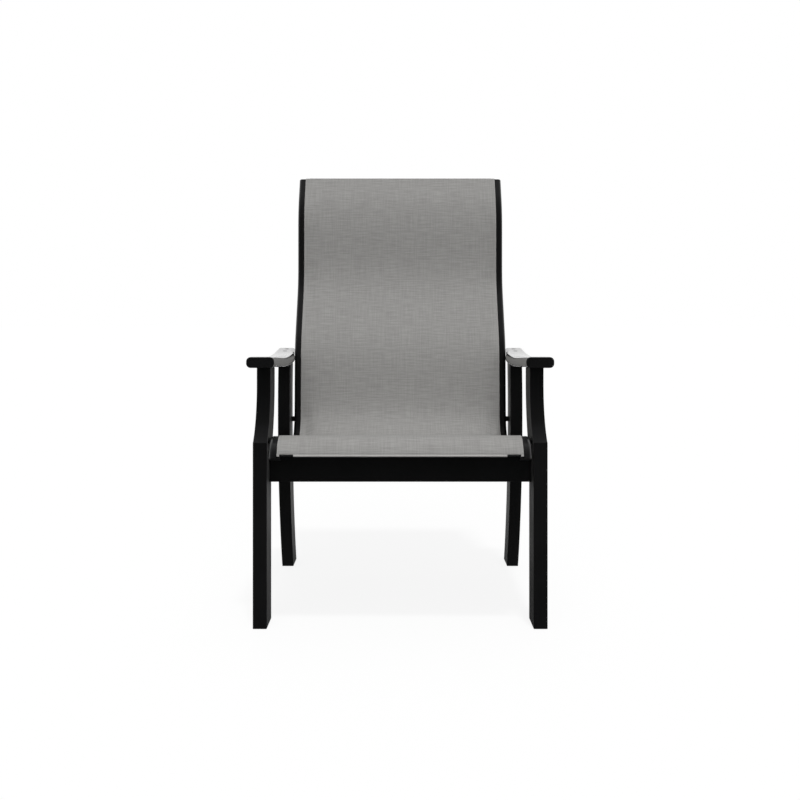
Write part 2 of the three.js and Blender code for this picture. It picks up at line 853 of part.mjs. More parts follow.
/** The left front leg, with its mortise and holes. */
function frontLeg() {
  return cut(
    board(frontLegOutline(), legInner, legOuter, boardEase),
    armSpace(),
    mortise(tenonFront - fitGap, frontLegDepth + overrun),
    ...legBoltHoles(frontBoltPlace),
    ...Object.values(apronScrewPlaces).map((place) => acrossLeg(countersunkHole(), place)),
    ...armScrewHoles("front_first", "front_second"),
  );
}

/** The left rear leg, with its mortise and holes. */
function rearLeg() {
  return cut(
    board(rearLegOutline(), legInner, legOuter, boardEase),
    armSpace(),
    mortise(uprightSetback - overrun, tenonRear + fitGap),
    tenonScrewHole(),
    ...legBoltHoles(rearBoltPlace),
    ...Object.values(stretcherScrewPlaces).map((place) => acrossLeg(countersunkHole(), place)),
    ...armScrewHoles("rear_first", "rear_second"),
  );
}

/** The space beside the back rail that the arm's inner side leaves free. */
function armRelief() {
  const start = armRear - armReliefReach;
  const free = railOuter + armReliefClearance;
  const outside = armInner - overrun;
  const plan = new THREE.Shape([
    new THREE.Vector2(outside, start),
    new THREE.Vector2(armInner, start),
    new THREE.Vector2(free, start + armReliefRun),
    new THREE.Vector2(free, armRear + overrun),
    new THREE.Vector2(outside, armRear + overrun),
  ]);
  const lowest = armFrontHeight - armDip - armThickness - overrun;
  const depth = armFrontHeight + armRearRise + overrun - lowest;
  return new THREE.ExtrudeGeometry(plan, { depth, bevelEnabled: false }).translate(0, 0, lowest);
}

/** The left arm, with its relief and screw holes. */
function arm() {
  return cut(
    sweep(armLine, armSection()),
    armRelief(),
    ...armScrewHoles(...Object.keys(armScrewSetbacks)),
  );
}

/** A board between the left and right legs, with its screw holes. */
function crossBoard(outline, screwPlaces) {
  const places = Object.values(screwPlaces);
  const left = places.map((place) => acrossLeg(countersunkHole(), place));
  const right = places.map((place) => outward(countersunkHole(), screwRecess - legOuter, place));
  return cut(board(outline, fitGap - legInner, legInner - fitGap), ...left, ...right);
}

/** A side rail. The lower screw of the apron also pins its front tenon. */
function sideRail() {
  const top = sideRailBottom + sideRailHeight;
  const blank = rectangle(
    frontLegDepth + fitGap,
    uprightSetback + rearLegDepth / 2,
    sideRailBottom,
    top,
    boardEase,
  );
  const body = cut(
    board(blank, legInner, legOuter),
    board(rearLegOutline(fitGap), legInner - overrun, legOuter + overrun),
  );
  const tenon = block(tenonInner, tenonOuter, tenonFront, tenonRear, tenonBottom, tenonTop);
  const apronScrewHole = acrossLeg(countersunkHole(), apronScrewPlaces.lower);
  return cut(join(body, tenon), apronScrewHole, tenonScrewHole());
}

// The side frames
addPair("front_leg", frontLeg(), boardMaterial);
addPair("rear_leg", rearLeg(), boardMaterial);
addPair("arm", arm(), boardMaterial);
addPair("side_rail", sideRail(), boardMaterial);
add(
  "front_apron",
  crossBoard(
    rectangle(
      apronSetback,
      apronSetback + boardThickness,
      apronBottom,
      apronBottom + apronHeight,
      boardEase,
    ),
    apronScrewPlaces,
  ),
  boardMaterial,
);
add(
  "rear_stretcher",
  crossBoard(
    rectangle(
      uprightSetback + stretcherInset,
      uprightSetback + stretcherInset + boardThickness,
      stretcherBottom,
      stretcherBottom + stretcherHeight,
      boardEase,
    ),
    stretcherScrewPlaces,
  ),
  boardMaterial,
);

// The sling frame
addPair("sling_rail", slingRail(), railMaterial);
add("sling_fabric", slingFabric(), fabricMaterial);
addPair(
  "sling_spline",
  sweep(
    stretch(edgeLift, slingLength - edgeTopInset),
    circle(grooveX, -channelDepth, splineRadius, splineSides),
  ),
  splineMaterial,
);
add(
  "front_hem_rod",
  bar(fitGap - railInner, railInner - fitGap, hemPlace, hemRodRadius, hemSides),
  railMaterial,
);
addPair(
  "front_cap",
  railCap(-fitGap - capPlate, -fitGap, -fitGap - capPlate / 2, capPlug),
  plasticMaterial,
);
addPair(
  "top_cap",
  railCap(
    slingLength + fitGap,
    slingLength + fitGap + capPlate,
    slingLength - capPlug,
    slingLength + fitGap + capPlate / 2,
  ),
  plasticMaterial,
);
for (const [name, place] of Object.entries(spreaderPlaces)) {
  add(name, spreader(place), railMaterial);
  const length = spreaderBoltHeadHeight + railWall + 2 * fitGap + spreaderBoltGrip;
  const bolt = domed(spreaderBoltRadius, spreaderBoltHeadRadius, spreaderBoltHeadHeight, length);
  const headTop = railInner + railWall + fitGap + spreaderBoltHeadHeight;
  addPair(`${name}_bolt`, inward(bolt, headTop, place), steelMaterial);
}

// The four stand-offs and their bolts
const boltLength = boltHeadHeight + fitGap + boardThickness - boltRecess + standOff + boltTipDepth;
for (const [name, place] of Object.entries({ front: frontBoltPlace, rear: rearBoltPlace })) {
  addPair(
    `${name}_spacer`,
    cut(
      bar(railOuter + fitGap, legInner - fitGap, place, spacerRadius, headSides),
      boltHole(railOuter, legInner, place),
    ),
    plasticMaterial,
  );
  const bolt = domed(boltRadius, boltHeadRadius, boltHeadHeight, boltLength);
  const headTop = legOuter - boltRecess + fitGap + boltHeadHeight;
  addPair(`${name}_sling_bolt`, inward(bolt, headTop, place), steelMaterial);
}

// The screws in the boards
for (const [name, place] of Object.entries(apronScrewPlaces)) {
  addPair(`apron_screw_${name}`, acrossLeg(countersunk(), place), steelMaterial);
}
for (const [name, place] of Object.entries(stretcherScrewPlaces)) {
  addPair(`stretcher_screw_${name}`, acrossLeg(countersunk(), place), steelMaterial);
}
for (const [name, setback] of Object.entries(armScrewSetbacks)) {
  addPair(`arm_screw_${name}`, downArm(countersunk(), setback), steelMaterial);
}
const tenonScrew = domed(tenonScrewRadius, tenonScrewHeadRadius, tenonScrewHeadHeight, tenonScrewLength);
const tenonScrewTop = legInner - fitGap - tenonScrewHeadHeight;
addPair("tenon_screw", outward(tenonScrew, tenonScrewTop, tenonScrewPlace), steelMaterial);

// The origin is on the floor, under the middle of the whole chair.
const extent = new THREE.Box3().setFromObject(chair);
chair.position.y = -(extent.min.y + extent.max.y) / 2;

export default chair;
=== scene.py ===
"""A sling patio chair with its finishes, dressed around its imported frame.

Sizes are in millimetres. +X is the sitter's left, +Y is the back and +Z is up. A setback is a place in Y,
measured from the front face of the front legs. Pieces are drawn on the left and mirrored for the right.
"""

import logging
import math
from collections.abc import Sequence
from dataclasses import dataclass
from enum import Enum

import bmesh
import bpy
import numpy as np
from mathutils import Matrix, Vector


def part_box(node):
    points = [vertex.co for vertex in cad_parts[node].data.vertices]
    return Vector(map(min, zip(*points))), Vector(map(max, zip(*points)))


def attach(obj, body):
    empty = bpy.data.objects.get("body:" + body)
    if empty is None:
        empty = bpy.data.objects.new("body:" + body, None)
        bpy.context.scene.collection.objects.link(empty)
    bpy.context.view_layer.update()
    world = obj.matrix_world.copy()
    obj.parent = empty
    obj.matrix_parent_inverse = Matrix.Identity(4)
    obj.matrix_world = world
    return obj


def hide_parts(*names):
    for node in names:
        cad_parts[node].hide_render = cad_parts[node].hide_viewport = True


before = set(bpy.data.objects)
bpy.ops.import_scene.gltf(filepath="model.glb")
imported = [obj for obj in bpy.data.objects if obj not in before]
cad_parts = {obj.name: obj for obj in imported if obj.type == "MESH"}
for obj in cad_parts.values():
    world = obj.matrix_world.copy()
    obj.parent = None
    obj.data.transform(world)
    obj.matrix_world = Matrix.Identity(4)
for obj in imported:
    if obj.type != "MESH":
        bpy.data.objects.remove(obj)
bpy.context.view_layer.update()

LOG = logging.getLogger("sling_chair")
MM = 0.001
BODY = "root"
# In metres: points of one mesh that lie closer are one point
MERGE_DISTANCE = 1e-7
# Edges that turn further than this stay sharp
SHARP_ANGLE = math.radians(38)
FRONT_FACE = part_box("front_leg_left")[0].y / MM
# What the CAD calls the tubes between the rails, and the screws in an arm
SPREADERS = ("seat_front_spreader", "seat_rear_spreader", "back_top_spreader")
ARM_SCREWS = ("front_first", "front_second", "rear_first", "rear_second")
# A noise texture's values mostly lie between these
NOISE_SPAN = {"From Min": 0.3, "From Max": 0.7}

Array = np.ndarray
Tree = bpy.types.NodeTree
Node = bpy.types.Node
Socket = bpy.types.NodeSocket
Value = Socket | float
Materials = dict[str, bpy.types.Material]
Shares = Sequence[Sequence[float]]


class Side(Enum):
    """The two sides of the chair, as the sitter sees them."""

    LEFT = 1
    RIGHT = -1

    @property
    def label(self) -> str:
        """The word that ends a piece's name."""
        return self.name.lower()


class Slot(Enum):
    """The material slots, by name."""

    BOARD = "frame_board"
    RAIL = "sling_rail"
    SLING = "sling"
    FITTING = "fittings"
    SPLINE = "spline"
    FASTENER = "fasteners"


def linear(colour: str) -> tuple[float, float, float, float]:
    """Turns an sRGB hex colour into a linear one, by the usual two-part curve.

    Args:
        colour: A colour such as "#1a1a1b".

    Returns:
        Red, green, blue and an alpha of 1.
    """
    values = np.array([int(colour[i : i + 2], 16) for i in (1, 3, 5)]) / 255
    curved = np.where(values <= 0.04045, values / 12.92, ((values + 0.055) / 1.055) ** 2.4)
    return (*curved.tolist(), 1.0)


def add_node(tree: Tree, kind: str, settings: dict | None = None, inputs: dict | None = None) -> Node:
    """Adds a node with its settings, and sets or links its inputs.

    Args:
        tree: The node tree.
        kind: The node's type, such as "ShaderNodeMath".
        settings: The node's own properties by name.
        inputs: Values or output sockets by the input's name or number.

    Returns:
        The new node.
    """
    node = tree.nodes.new(kind)
    for name, value in (settings or {}).items():
        setattr(node, name, value)
    for name, value in (inputs or {}).items():
        if isinstance(value, Socket):
            tree.links.new(value, node.inputs[name])
        else:
            node.inputs[name].default_value = value
    return node


@dataclass(frozen=True)
class Finish:
    """Two shades of a colour, with slow clouds in its shade and shine and a fine grain in its surface."""

    name: str
    dark: str
    light: str
    roughness: float
    specular: float = 0.5
    metallic: float = 0.0
    sheen: float = 0.0
    sheen_roughness: float = 0.4
    coat: float = 0.0
    coat_roughness: float = 0.12
    # A grain's width and depth
    grain: float = 0.8
    grain_depth: float = 0.03
    # A cloud's width in grains, and how far the clouds move the roughness, as a share of it
    cloud: float = 100.0
    wear: float = 0.08
    # The pattern's scale along each axis: small where the grains are drawn out into lines
    stretch: tuple[float, float, float] = (1.0, 1.0, 1.0)

    def start(self) -> tuple[bpy.types.Material, Node]:
        """Makes the material, with its constant values on the shader's own sockets.

        Returns:
            The material and its shader node.
        """
        material = bpy.data.materials.new(self.name)
        material.use_nodes = True
        tree = material.node_tree
        tree.nodes.clear()
        inputs = {
            "Roughness": self.roughness,
            "Metallic": self.metallic,
            "Specular IOR Level": self.specular,
            "Sheen Weight": self.sheen,
            "Sheen Roughness": self.sheen_roughness,
            "Coat Weight": self.coat,
            "Coat Roughness": self.coat_roughness,
        }
        shader = add_node(tree, "ShaderNodeBsdfPrincipled", inputs=inputs)
        add_node(tree, "ShaderNodeOutputMaterial", inputs={"Surface": shader.outputs["BSDF"]})
        return material, shader

    def dress(self, tree: Tree, shader: Node, tone: Socket, height: Socket) -> None:
        """Colours the surface between its two shades, and raises it by its grain's depth.

        Args:
            tree: The material's node tree.
            shader: The shader node.
            tone: 0 for the dark shade and 1 for the light one. It may lie past either.
            height: The relief, where 1 is a grain's whole depth.
        """
        settings = {"data_type": "RGBA", "clamp_factor": False}
        # Inputs 6 and 7 and output 2 are the node's sockets for colours
        inputs = {0: tone, 6: linear(self.dark), 7: linear(self.light)}
        colour = add_node(tree, "ShaderNodeMix", settings, inputs).outputs[2]
        tree.links.new(colour, shader.inputs["Base Color"])
        inputs = {"Height": height, "Strength": 1.0, "Distance": self.grain_depth * MM}
        normal = add_node(tree, "ShaderNodeBump", inputs=inputs).outputs["Normal"]
        tree.links.new(normal, shader.inputs["Normal"])

    def build(self) -> bpy.types.Material:
        """Makes the finish on the piece's own coordinates: one noise for the clouds and one for the grain.

        Returns:
            The material.
        """
        material, shader = self.start()
        tree = material.node_tree
        inputs = {"Vector": add_node(tree, "ShaderNodeTexCoord").outputs["Object"], "Scale": self.stretch}
        place = add_node(tree, "ShaderNodeMapping", {"vector_type": "POINT"}, inputs).outputs["Vector"]
        noises = []
        for size in (self.cloud * self.grain, self.grain):
            inputs = {"Vector": place, "Scale": 1 / (size * MM), "Detail": 3.0}
            node = add_node(tree, "ShaderNodeTexNoise", {"noise_dimensions": "3D"}, inputs)
            noises.append(node.outputs["Fac"])
        clouds, grain = noises
        ranges = []
        for low, high in ((0.0, 1.0), (self.roughness * (1 - self.wear), self.roughness * (1 + self.wear))):
            inputs = {"Value": clouds, **NOISE_SPAN, "To Min": low, "To Max": high}
            ranges.append(add_node(tree, "ShaderNodeMapRange", inputs=inputs).outputs["Result"])
        tone, rough = ranges
        tree.links.new(rough, shader.inputs["Roughness"])
        self.dress(tree, shader, tone, grain)
        return material


@dataclass(frozen=True)
class CoatedMesh(Finish):
    """Woven mesh of vinyl-coated polyester yarn, heat set.

    The yarns give fine streaks across the sheet and fainter ones along it, with painted shade in the small
    gaps between them. The real yarns lie 1.2 mm apart. They are drawn twice as far apart, because they would
    not show.
    A tone of 0 is the dark shade and one of 1 the light shade.
    """

    yarn_pitch: float = 2.4
    # How much higher the crossing yarn lies, as a share of the relief
    over_height: float = 0.25
    # Every streak's width, and for both directions its length and how far it moves the tone
    streak_width: float = 3.2
    weft_streak: float = 45.0
    weft_tone: float = 0.23
    warp_streak: float = 70.0
    warp_tone: float = 0.14
    # The wave's level that leaves the tone as it is, and how far painted shade darkens a gap between the
    # yarns
    gap_level: float = 0.9
    gap_shade_tone: float = 0.8
    # The hem round its rod: how far it goes along and to either side, and how much lighter it is, partly for
    # its doubled layers and partly as a painted highlight
    hem_end: float = 7.3
    hem_half: float = 237.0
    hem_tone: float = 1.3
    # The sheet's own tone, and the lighter tone of its sides where they turn down into the grooves, which is
    # a painted highlight
    flat_tone: float = 0.5
    folded_highlight_tone: float = 0.85
    folded_from: float = 270.6
    folded_to: float = 272.2

    def build(self) -> bpy.types.Material:
        """Makes the weave on the sheet's own metres, across and along.

        The relief is the higher of a wave across and a wave along, plus a share of their product. The tone
        is the sheet's own plus those of the streaks, painted shade in the gaps, the hem, which is lighter for
        its doubled layers and for a painted highlight, and a painted highlight on the sides where they turn
        down.

        Returns:
            The material.
        """
        material, shader = self.start()
        tree = material.node_tree
        uv = add_node(tree, "ShaderNodeUVMap", {"uv_map": "sheet"}).outputs["UV"]
        parts = add_node(tree, "ShaderNodeSeparateXYZ", inputs={"Vector": uv}).outputs
        sideways = add_node(tree, "ShaderNodeMath", {"operation": "ABSOLUTE"}, {0: parts["X"]}).outputs[0]
        inputs = {
            "Value": sideways,
            "From Min": self.folded_from * MM,
            "From Max": self.folded_to * MM,
            "To Min": self.flat_tone,
            "To Max": self.folded_highlight_tone,
        }
        # Painted highlight: the sides, where they turn down into the grooves, are painted lighter than the
        # flat sheet, and this tone goes on as the sheet's own
        side_highlight = add_node(tree, "ShaderNodeMapRange", {"interpolation_type": "SMOOTHSTEP"}, inputs)
        values = {
            "across": parts["X"],
            "along": parts["Y"],
            "sideways": sideways,
            "own": side_highlight.outputs["Result"],
        }
        for name, across, along, tone in (
            ("weft", self.weft_streak, self.streak_width, self.weft_tone),
            ("warp", self.streak_width, self.warp_streak, self.warp_tone),
        ):
            inputs = {"Vector": uv, "Scale": (1 / (across * MM), 1 / (along * MM), 1.0)}
            place = add_node(tree, "ShaderNodeMapping", {"vector_type": "POINT"}, inputs).outputs["Vector"]
            inputs = {"Vector": place, "Scale": 1.0, "Detail": 2.0}
            streaks = add_node(tree, "ShaderNodeTexNoise", {"noise_dimensions": "2D"}, inputs).outputs["Fac"]
            inputs = {"Value": streaks, **NOISE_SPAN, "To Min": -tone, "To Max": tone}
            values[name] = add_node(tree, "ShaderNodeMapRange", inputs=inputs).outputs["Result"]
        turn = math.pi / (self.yarn_pitch * MM)
        # Each row: the result's name, the operation, and what it works on
        sums = (
            ("warp_turn", "MULTIPLY", "across", turn),
            ("weft_turn", "MULTIPLY", "along", turn),
            ("warp_sine", "SINE", "warp_turn"),
            ("weft_sine", "SINE", "weft_turn"),
            ("warp_wave", "ABSOLUTE", "warp_sine"),
            ("weft_wave", "ABSOLUTE", "weft_sine"),
            ("over", "MULTIPLY", "warp_sine", "weft_sine"),
            ("yarns", "MAXIMUM", "warp_wave", "weft_wave"),
            ("height", "MULTIPLY_ADD", "over", self.over_height, "yarns"),
            # Painted shade: where the wave is low, between the yarns, the tone is darkened
            ("level", "SUBTRACT", "yarns", self.gap_level),
            ("gaps", "MULTIPLY", "level", self.gap_shade_tone),
            # The hem round its rod is painted lighter, partly for its doubled layers and partly as a painted
            # highlight where it faces up
            ("in_width", "LESS_THAN", "sideways", self.hem_half * MM),
            ("in_length", "LESS_THAN", "along", self.hem_end * MM),
            ("in_hem", "MULTIPLY", "in_width", "in_length"),
            ("hem", "MULTIPLY", "in_hem", self.hem_tone),
            ("streaks", "ADD", "weft", "warp"),
            ("woven", "ADD", "streaks", "gaps"),
            # The sheet's own tone with its painted side highlight, plus the hem's lighter tone with its
            # painted highlight
            ("own_hem_and_highlights", "ADD", "own", "hem"),
            ("tone", "ADD", "woven", "own_hem_and_highlights"),
        )
        for name, operation, *operands in sums:
            inputs = {number: values.get(operand, operand) for number, operand in enumerate(operands)}
            values[name] = add_node(tree, "ShaderNodeMath", {"operation": operation}, inputs).outputs[0]
        self.dress(tree, shader, values["tone"], values["height"])
        return material


@dataclass(frozen=True)
class Palette:
    """The finishes of the whole chair."""

    # Polymer lumber, extruded and planed: an even black with a fine dull grain, so upright faces stay dark.
    board: Finish = Finish(
        "polymer_lumber_planed", "#0e0e0f", "#121213", 0.6, specular=0.25, sheen=0.06, grain=0.9
    )
    # The arms are the same lumber, sanded and wiped smooth: they mirror a pale room at a flat angle.
    arm: Finish = Finish(
        "polymer_lumber_smooth", "#09090a", "#0c0c0d", 0.15, specular=0.3, coat=0.6, grain_depth=0.004
    )
    # Powder coat baked on aluminium: a satin black with a slight orange peel.
    rail: Finish = Finish(
        "aluminium_powder_coated",
        "#0b0b0c",
        "#0f0f10",
        0.35,
        specular=0.4,
        coat=0.5,
        grain=1.4,
        grain_depth=0.012,
    )
    # Mesh of vinyl-coated yarn: a warm grey that looks even from afar, with faint streaks close up.
    fabric: Finish = CoatedMesh(
        "polyester_mesh_vinyl_coated", "#898886", "#a3a2a0", 0.7, specular=0.25, grain_depth=0.1
    )
    # Glass-filled nylon, moulded: a dull black with a spark-eroded texture.
    fitting: Finish = Finish("nylon_moulded", "#0a0a0a", "#0e0e0e", 0.5, grain=0.4)
    # Soft vinyl, extruded: a dark grey rod with a dull skin.
    spline: Finish = Finish("vinyl_extruded", "#2b2b2b", "#333333", 0.6, specular=0.3, grain=0.6)
    # Stainless steel as it comes from heading and tumbling: bright, with fine lines drawn out along X.
    steel: Finish = Finish(
        "stainless_steel_drawn",
        "#a5a6a7",
        "#c2c3c4",
        0.32,
        metallic=1.0,
        grain=0.3,
        grain_depth=0.006,
        cloud=1.0,
        wear=0.2,
        stretch=(0.05, 1.0, 1.0),
    )
    # Bonded polyester sewing thread, a little lighter than the mesh that it closes.
    thread: Finish = Finish("polyester_thread", "#8f8e8c", "#a3a2a0", 0.75, specular=0.2, grain=0.3)

    def build(self) -> Materials:
        """All materials, by the names of the fields."""
        return {name: getattr(self, name).build() for name in self.__dataclass_fields__}


@dataclass
class Shell:
    """Points in millimetres, the rows of point numbers that make faces, and a sheet's own coordinates."""

    points: Array
    faces: list[Array]
    uv: Array | None = None


def skin(rings: Array, closed: bool = False) -> Shell:
    """Joins rings of points into a shell: each point is joined to the next in its ring and in the next ring.

    Args:
        rings: Points, shaped (rings, points in a ring, 3).
        closed: Whether the last ring joins the first. Otherwise each end gets one flat face.

    Returns:
        The shell.
    """
    count, width = rings.shape[:2]
    index = np.arange(count * width).reshape(count, width)
    near = index if closed else index[:-1]
    far = np.roll(index, -1, axis=0) if closed else index[1:]
    quads = np.stack([near, np.roll(near, -1, 1), np.roll(far, -1, 1), far], axis=-1).reshape(-1, 4)
    ends = [] if closed else [index[:1, ::-1], index[-1:]]
    return Shell(rings.reshape(-1, 3), [quads, *ends])


def cloth(middle: Array, thickness: float, uv: Array) -> Shell:
    """A thin closed sheet: its two faces lie half a thickness off a grid, along the grid's normals.

    Args:
        middle: The sheet's middle surface, shaped (rows, columns, 3).
        thickness: The sheet's thickness.
        uv: The sheet's own coordinates in metres, shaped (rows, columns, 2).

    Returns:
        The shell, with its two faces and the wall round its edge.
    """
    rows, columns = middle.shape[:2]
    normal = np.cross(np.gradient(middle, axis=0), np.gradient(middle, axis=1))
    normal /= np.linalg.norm(normal, axis=-1, keepdims=True)
    faces = [middle + normal * thickness / 2, middle - normal * thickness / 2]
    points = np.concatenate([face.reshape(-1, 3) for face in faces])
    count = rows * columns
    index = np.arange(count).reshape(rows, columns)
    corners = (index[:-1, :-1], index[:-1, 1:], index[1:, 1:], index[1:, :-1])
    quads = np.stack(corners, axis=-1).reshape(-1, 4)
    rim = np.concatenate([index[0], index[1:, -1], index[-1, -2::-1], index[-2:0:-1, 0]])
    other = rim + count
    wall = np.stack([np.roll(rim, -1), rim, other, np.roll(other, -1)], axis=-1)
    return Shell(points, [quads, quads[:, ::-1] + count, wall], np.tile(uv.reshape(-1, 2), (2, 1)))


def arc(centre: Sequence[float], radius: float, start: float, end: float, steps: int) -> Array:
    """Points on an arc: the centre plus the radius times the cosine and sine of an angle in degrees."""
    angle = np.radians(np.linspace(start, end, steps + 1))
    return np.stack([centre[0] + radius * np.cos(angle), centre[1] + radius * np.sin(angle)], axis=-1)


def bezier(start: Sequence[float], end: Sequence[float], shares: Shares, steps: int = 24) -> Array:
    """A cubic curve. Each handle lies at its shares of the way from start to end, in Y and in Z.

    Args:
        start: The first place, as setback and height.
        end: The last place.
        shares: Two pairs of shares.
        steps: How many stretches the curve is drawn with.

    Returns:
        The points, shaped (steps + 1, 2).
    """
    first, last = np.array(start, float), np.array(end, float)
    handles = first + (last - first) * np.array(shares, float)
    t = np.linspace(0, 1, steps + 1)[:, None]
    middle = 3 * (1 - t) ** 2 * t * handles[0] + 3 * (1 - t) * t**2 * handles[1]
    return (1 - t) ** 3 * first + middle + t**3 * last


def turned_round(shares: Shares) -> Shares:
    """The same two handles, for a curve that is drawn from its far end."""
    return [[1 - share for share in pair] for pair in reversed(shares)]


def smooth(share: Array) -> Array:
    """A smooth step: three times the square of a share less twice its cube, from 0 to 1."""
    held = np.clip(share, 0, 1)
    return held * held * (3 - 2 * held)


def inset(outline: Array, amount: Array) -> Array:
    """Moves a closed outline inwards: each point goes along the mitre of its two edges' inner normals.

    Args:
        outline: An anticlockwise outline, shaped (points, 2).
        amount: How far, one value for each of several copies.

    Returns:
        The copies, shaped (amounts, points, 2).
    """
    along = np.roll(outline, -1, axis=0) - outline
    along /= np.linalg.norm(along, axis=1, keepdims=True)
    after = np.stack([-along[:, 1], along[:, 0]], axis=-1)
    before = np.roll(after, 1, axis=0)
    mitre = (before + after) / (1 + np.sum(before * after, axis=1, keepdims=True))
    return outline[None] + amount[:, None, None] * mitre[None]


def rounding(radius: float, steps: int = 4) -> tuple[Array, Array]:
    """A quarter round between a face and a side, from the face.

    Args:
        radius: The radius of the rounded edge.
        steps: How many stretches it has.

    Returns:
        For each row, how far it lies inside the side and how far behind the face.
    """
    angle = np.linspace(0, math.pi / 2, steps + 1)
    return radius * (1 - np.sin(angle)), radius * (1 - np.cos(angle))


def board(outline: Array, low: float, high: float, ease: float) -> Shell:
    """An outline in Y and Z carried across in X, with its edges rounded.

    Args:
        outline: An anticlockwise outline, shaped (points, 2).
        low: Where it starts in X.
        high: Where it ends.
        ease: The radius of its edges.

    Returns:
        The board.
    """
    insets, depths = rounding(ease)
    rings = inset(outline, np.concatenate([insets, insets[::-1]]))
    places = np.concatenate([low + depths, high - depths[::-1]])
    across = np.broadcast_to(places[:, None, None], (*rings.shape[:2], 1))
    return skin(np.concatenate([across, rings], axis=-1))


def rectangle(low: Sequence[float], high: Sequence[float], radius: float, steps: int = 4) -> Array:
    """An anticlockwise rectangle with rounded corners.

    Args:
        low: Its lower left corner.
        high: Its upper right corner.
        radius: The radius of its corners.
        steps: How many stretches a corner has.

    Returns:
        The outline, shaped (points, 2).
    """
    (left, bottom), (right, top) = low, high
    corners = [(left, bottom, 180), (right, bottom, 270), (right, top, 0), (left, top, 90)]
    inward = {left: radius, right: -radius, bottom: radius, top: -radius}
    return np.concatenate(
        [arc((x + inward[x], y + inward[y]), radius, turn, turn + 90, steps) for x, y, turn in corners]
    )


def turned(profile: Array, place: Sequence[float], axis: Sequence[float], sides: int = 48) -> Shell:
    """A turned piece: each row of the profile is a ring round the axis.

    A ring's radius is its own times one plus its lobe times the cosine of six times the angle, which gives
    a six-lobed socket.

    Args:
        profile: Rows of radius, depth along the axis and lobe. A row at radius 0 closes the piece.
        place: Where the axis starts.
        axis: The unit direction of the depth.
        sides: How many points a ring has.

    Returns:
        The shell.
    """
    direction = np.array(axis, float)
    first = np.roll(direction, 1)
    second = np.cross(direction, first)
    angle = np.linspace(0, 2 * math.pi, sides, endpoint=False)
    spokes = np.cos(angle)[:, None] * first + np.sin(angle)[:, None] * second
    radius, depth, lobe = profile.T
    lobed = radius[:, None] * (1 + lobe[:, None] * np.cos(6 * angle)[None])
    rings = np.array(place, float) + depth[:, None, None] * direction + lobed[..., None] * spokes
    return skin(rings)


def drum(radius: float, length: float) -> Array:
    """The profile of a plain cylinder."""
    return np.array([(0, 0, 0), (radius, 0, 0), (radius, length, 0), (0, length, 0)], float)


def bar(radius: float, length: float, edge: float) -> Array:
    """The profile of a cylinder whose edges are broken."""
    start = [(0, 0, 0), (radius - edge, 0, 0), (radius, edge, 0)]
    return np.array([*start, (radius, length - edge, 0), (radius - edge, length, 0), (0, length, 0)], float)


def mirrored(shell: Shell, side: Side) -> Shell:
    """A shell drawn on the left, for the given side."""
    return Shell(shell.points * (side.value, 1, 1), shell.faces, shell.uv)


def mesh_object(name: str, shells: Sequence[Shell]) -> bpy.types.Object:
    """Makes one object of closed shells, with doubles merged and faces pointing outwards.

    Args:
        name: The object's name.
        shells: The shells, in millimetres from the front legs' front face.

    Returns:
        The object, at the origin.
    """
    starts = np.cumsum([0, *(len(shell.points) for shell in shells)])
    points = (np.concatenate([shell.points for shell in shells]) + (0, FRONT_FACE, 0)) * MM
    faces = [
        row.tolist()
        for start, shell in zip(starts, shells)
        for group in shell.faces
        for row in group + start
    ]
    mesh = bpy.data.meshes.new(name)
    mesh.from_pydata(points.tolist(), [], faces)
    if all(shell.uv is not None for shell in shells):
        corner = np.empty(len(mesh.loops), np.int32)
        mesh.loops.foreach_get("vertex_index", corner)
        uv = np.concatenate([shell.uv for shell in shells])[corner]
        mesh.uv_layers.new(name="sheet").uv.foreach_set("vector", uv.astype(np.float32).ravel())
    work = bmesh.new()
    work.from_mesh(mesh)
    bmesh.ops.remove_doubles(work, verts=work.verts, dist=MERGE_DISTANCE)
    bmesh.ops.recalc_face_normals(work, faces=work.faces)
    work.to_mesh(mesh)
    work.free()
    thing = bpy.data.objects.new(name, mesh)
    bpy.context.scene.collection.objects.link(thing)
    return thing


def settle(piece: bpy.types.Object) -> None:
    """Applies what a piece's modifiers do to its mesh, and removes them.

    Args:
        piece: The piece.
    """
    graph = bpy.context.evaluated_depsgraph_get()
    mesh = bpy.data.meshes.new_from_object(piece.evaluated_get(graph), depsgraph=graph)
    before = piece.data
    piece.modifiers.clear()
    piece.data = mesh
    bpy.data.meshes.remove(before)
    mesh.name = piece.name


def make_piece(
    name: str,
    shells: Sequence[Shell],
    material: bpy.types.Material,
    nodes: Sequence[str] = (),
    cutters: Sequence[Shell] = (),
) -> bpy.types.Object:
    """Makes a finished piece: cut, shaded smooth between its sharp edges, coloured, attached to the body, and
    with its CAD nodes hidden.

    Args:
        name: The piece's name.
        shells: Its closed shells.
        material: Its material.
        nodes: The CAD nodes that it stands for.
        cutters: Closed shells whose space is taken out of it.

    Returns:
        The piece.
    """
    piece = mesh_object(name, shells)
    if cutters:
        tool = mesh_object(f"{name}_tool", cutters)
        carve = piece.modifiers.new("holes", "BOOLEAN")
        carve.operation = "DIFFERENCE"
        carve.solver = "EXACT"
        carve.object = tool
        settle(piece)
        bpy.data.meshes.remove(tool.data)
    piece.data.shade_smooth()
    piece.data.set_sharp_from_angle(angle=SHARP_ANGLE)
    weigh = piece.modifiers.new("normals", "WEIGHTED_NORMAL")
    weigh.keep_sharp = True
    settle(piece)
    piece.data.materials.clear()
    piece.data.materials.append(material)
    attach(piece, BODY)
    if nodes:
        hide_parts(*nodes)
    LOG.info("%s: %d faces", name, len(piece.data.polygons))
    return piece


def cad_box(node: str) -> tuple[Array, Array]:
    """The lowest and highest corners of a CAD node, in millimetres from the front legs' front face."""
    low, high = (np.array(corner) / MM - (0, FRONT_FACE, 0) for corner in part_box(node))
    return low, high


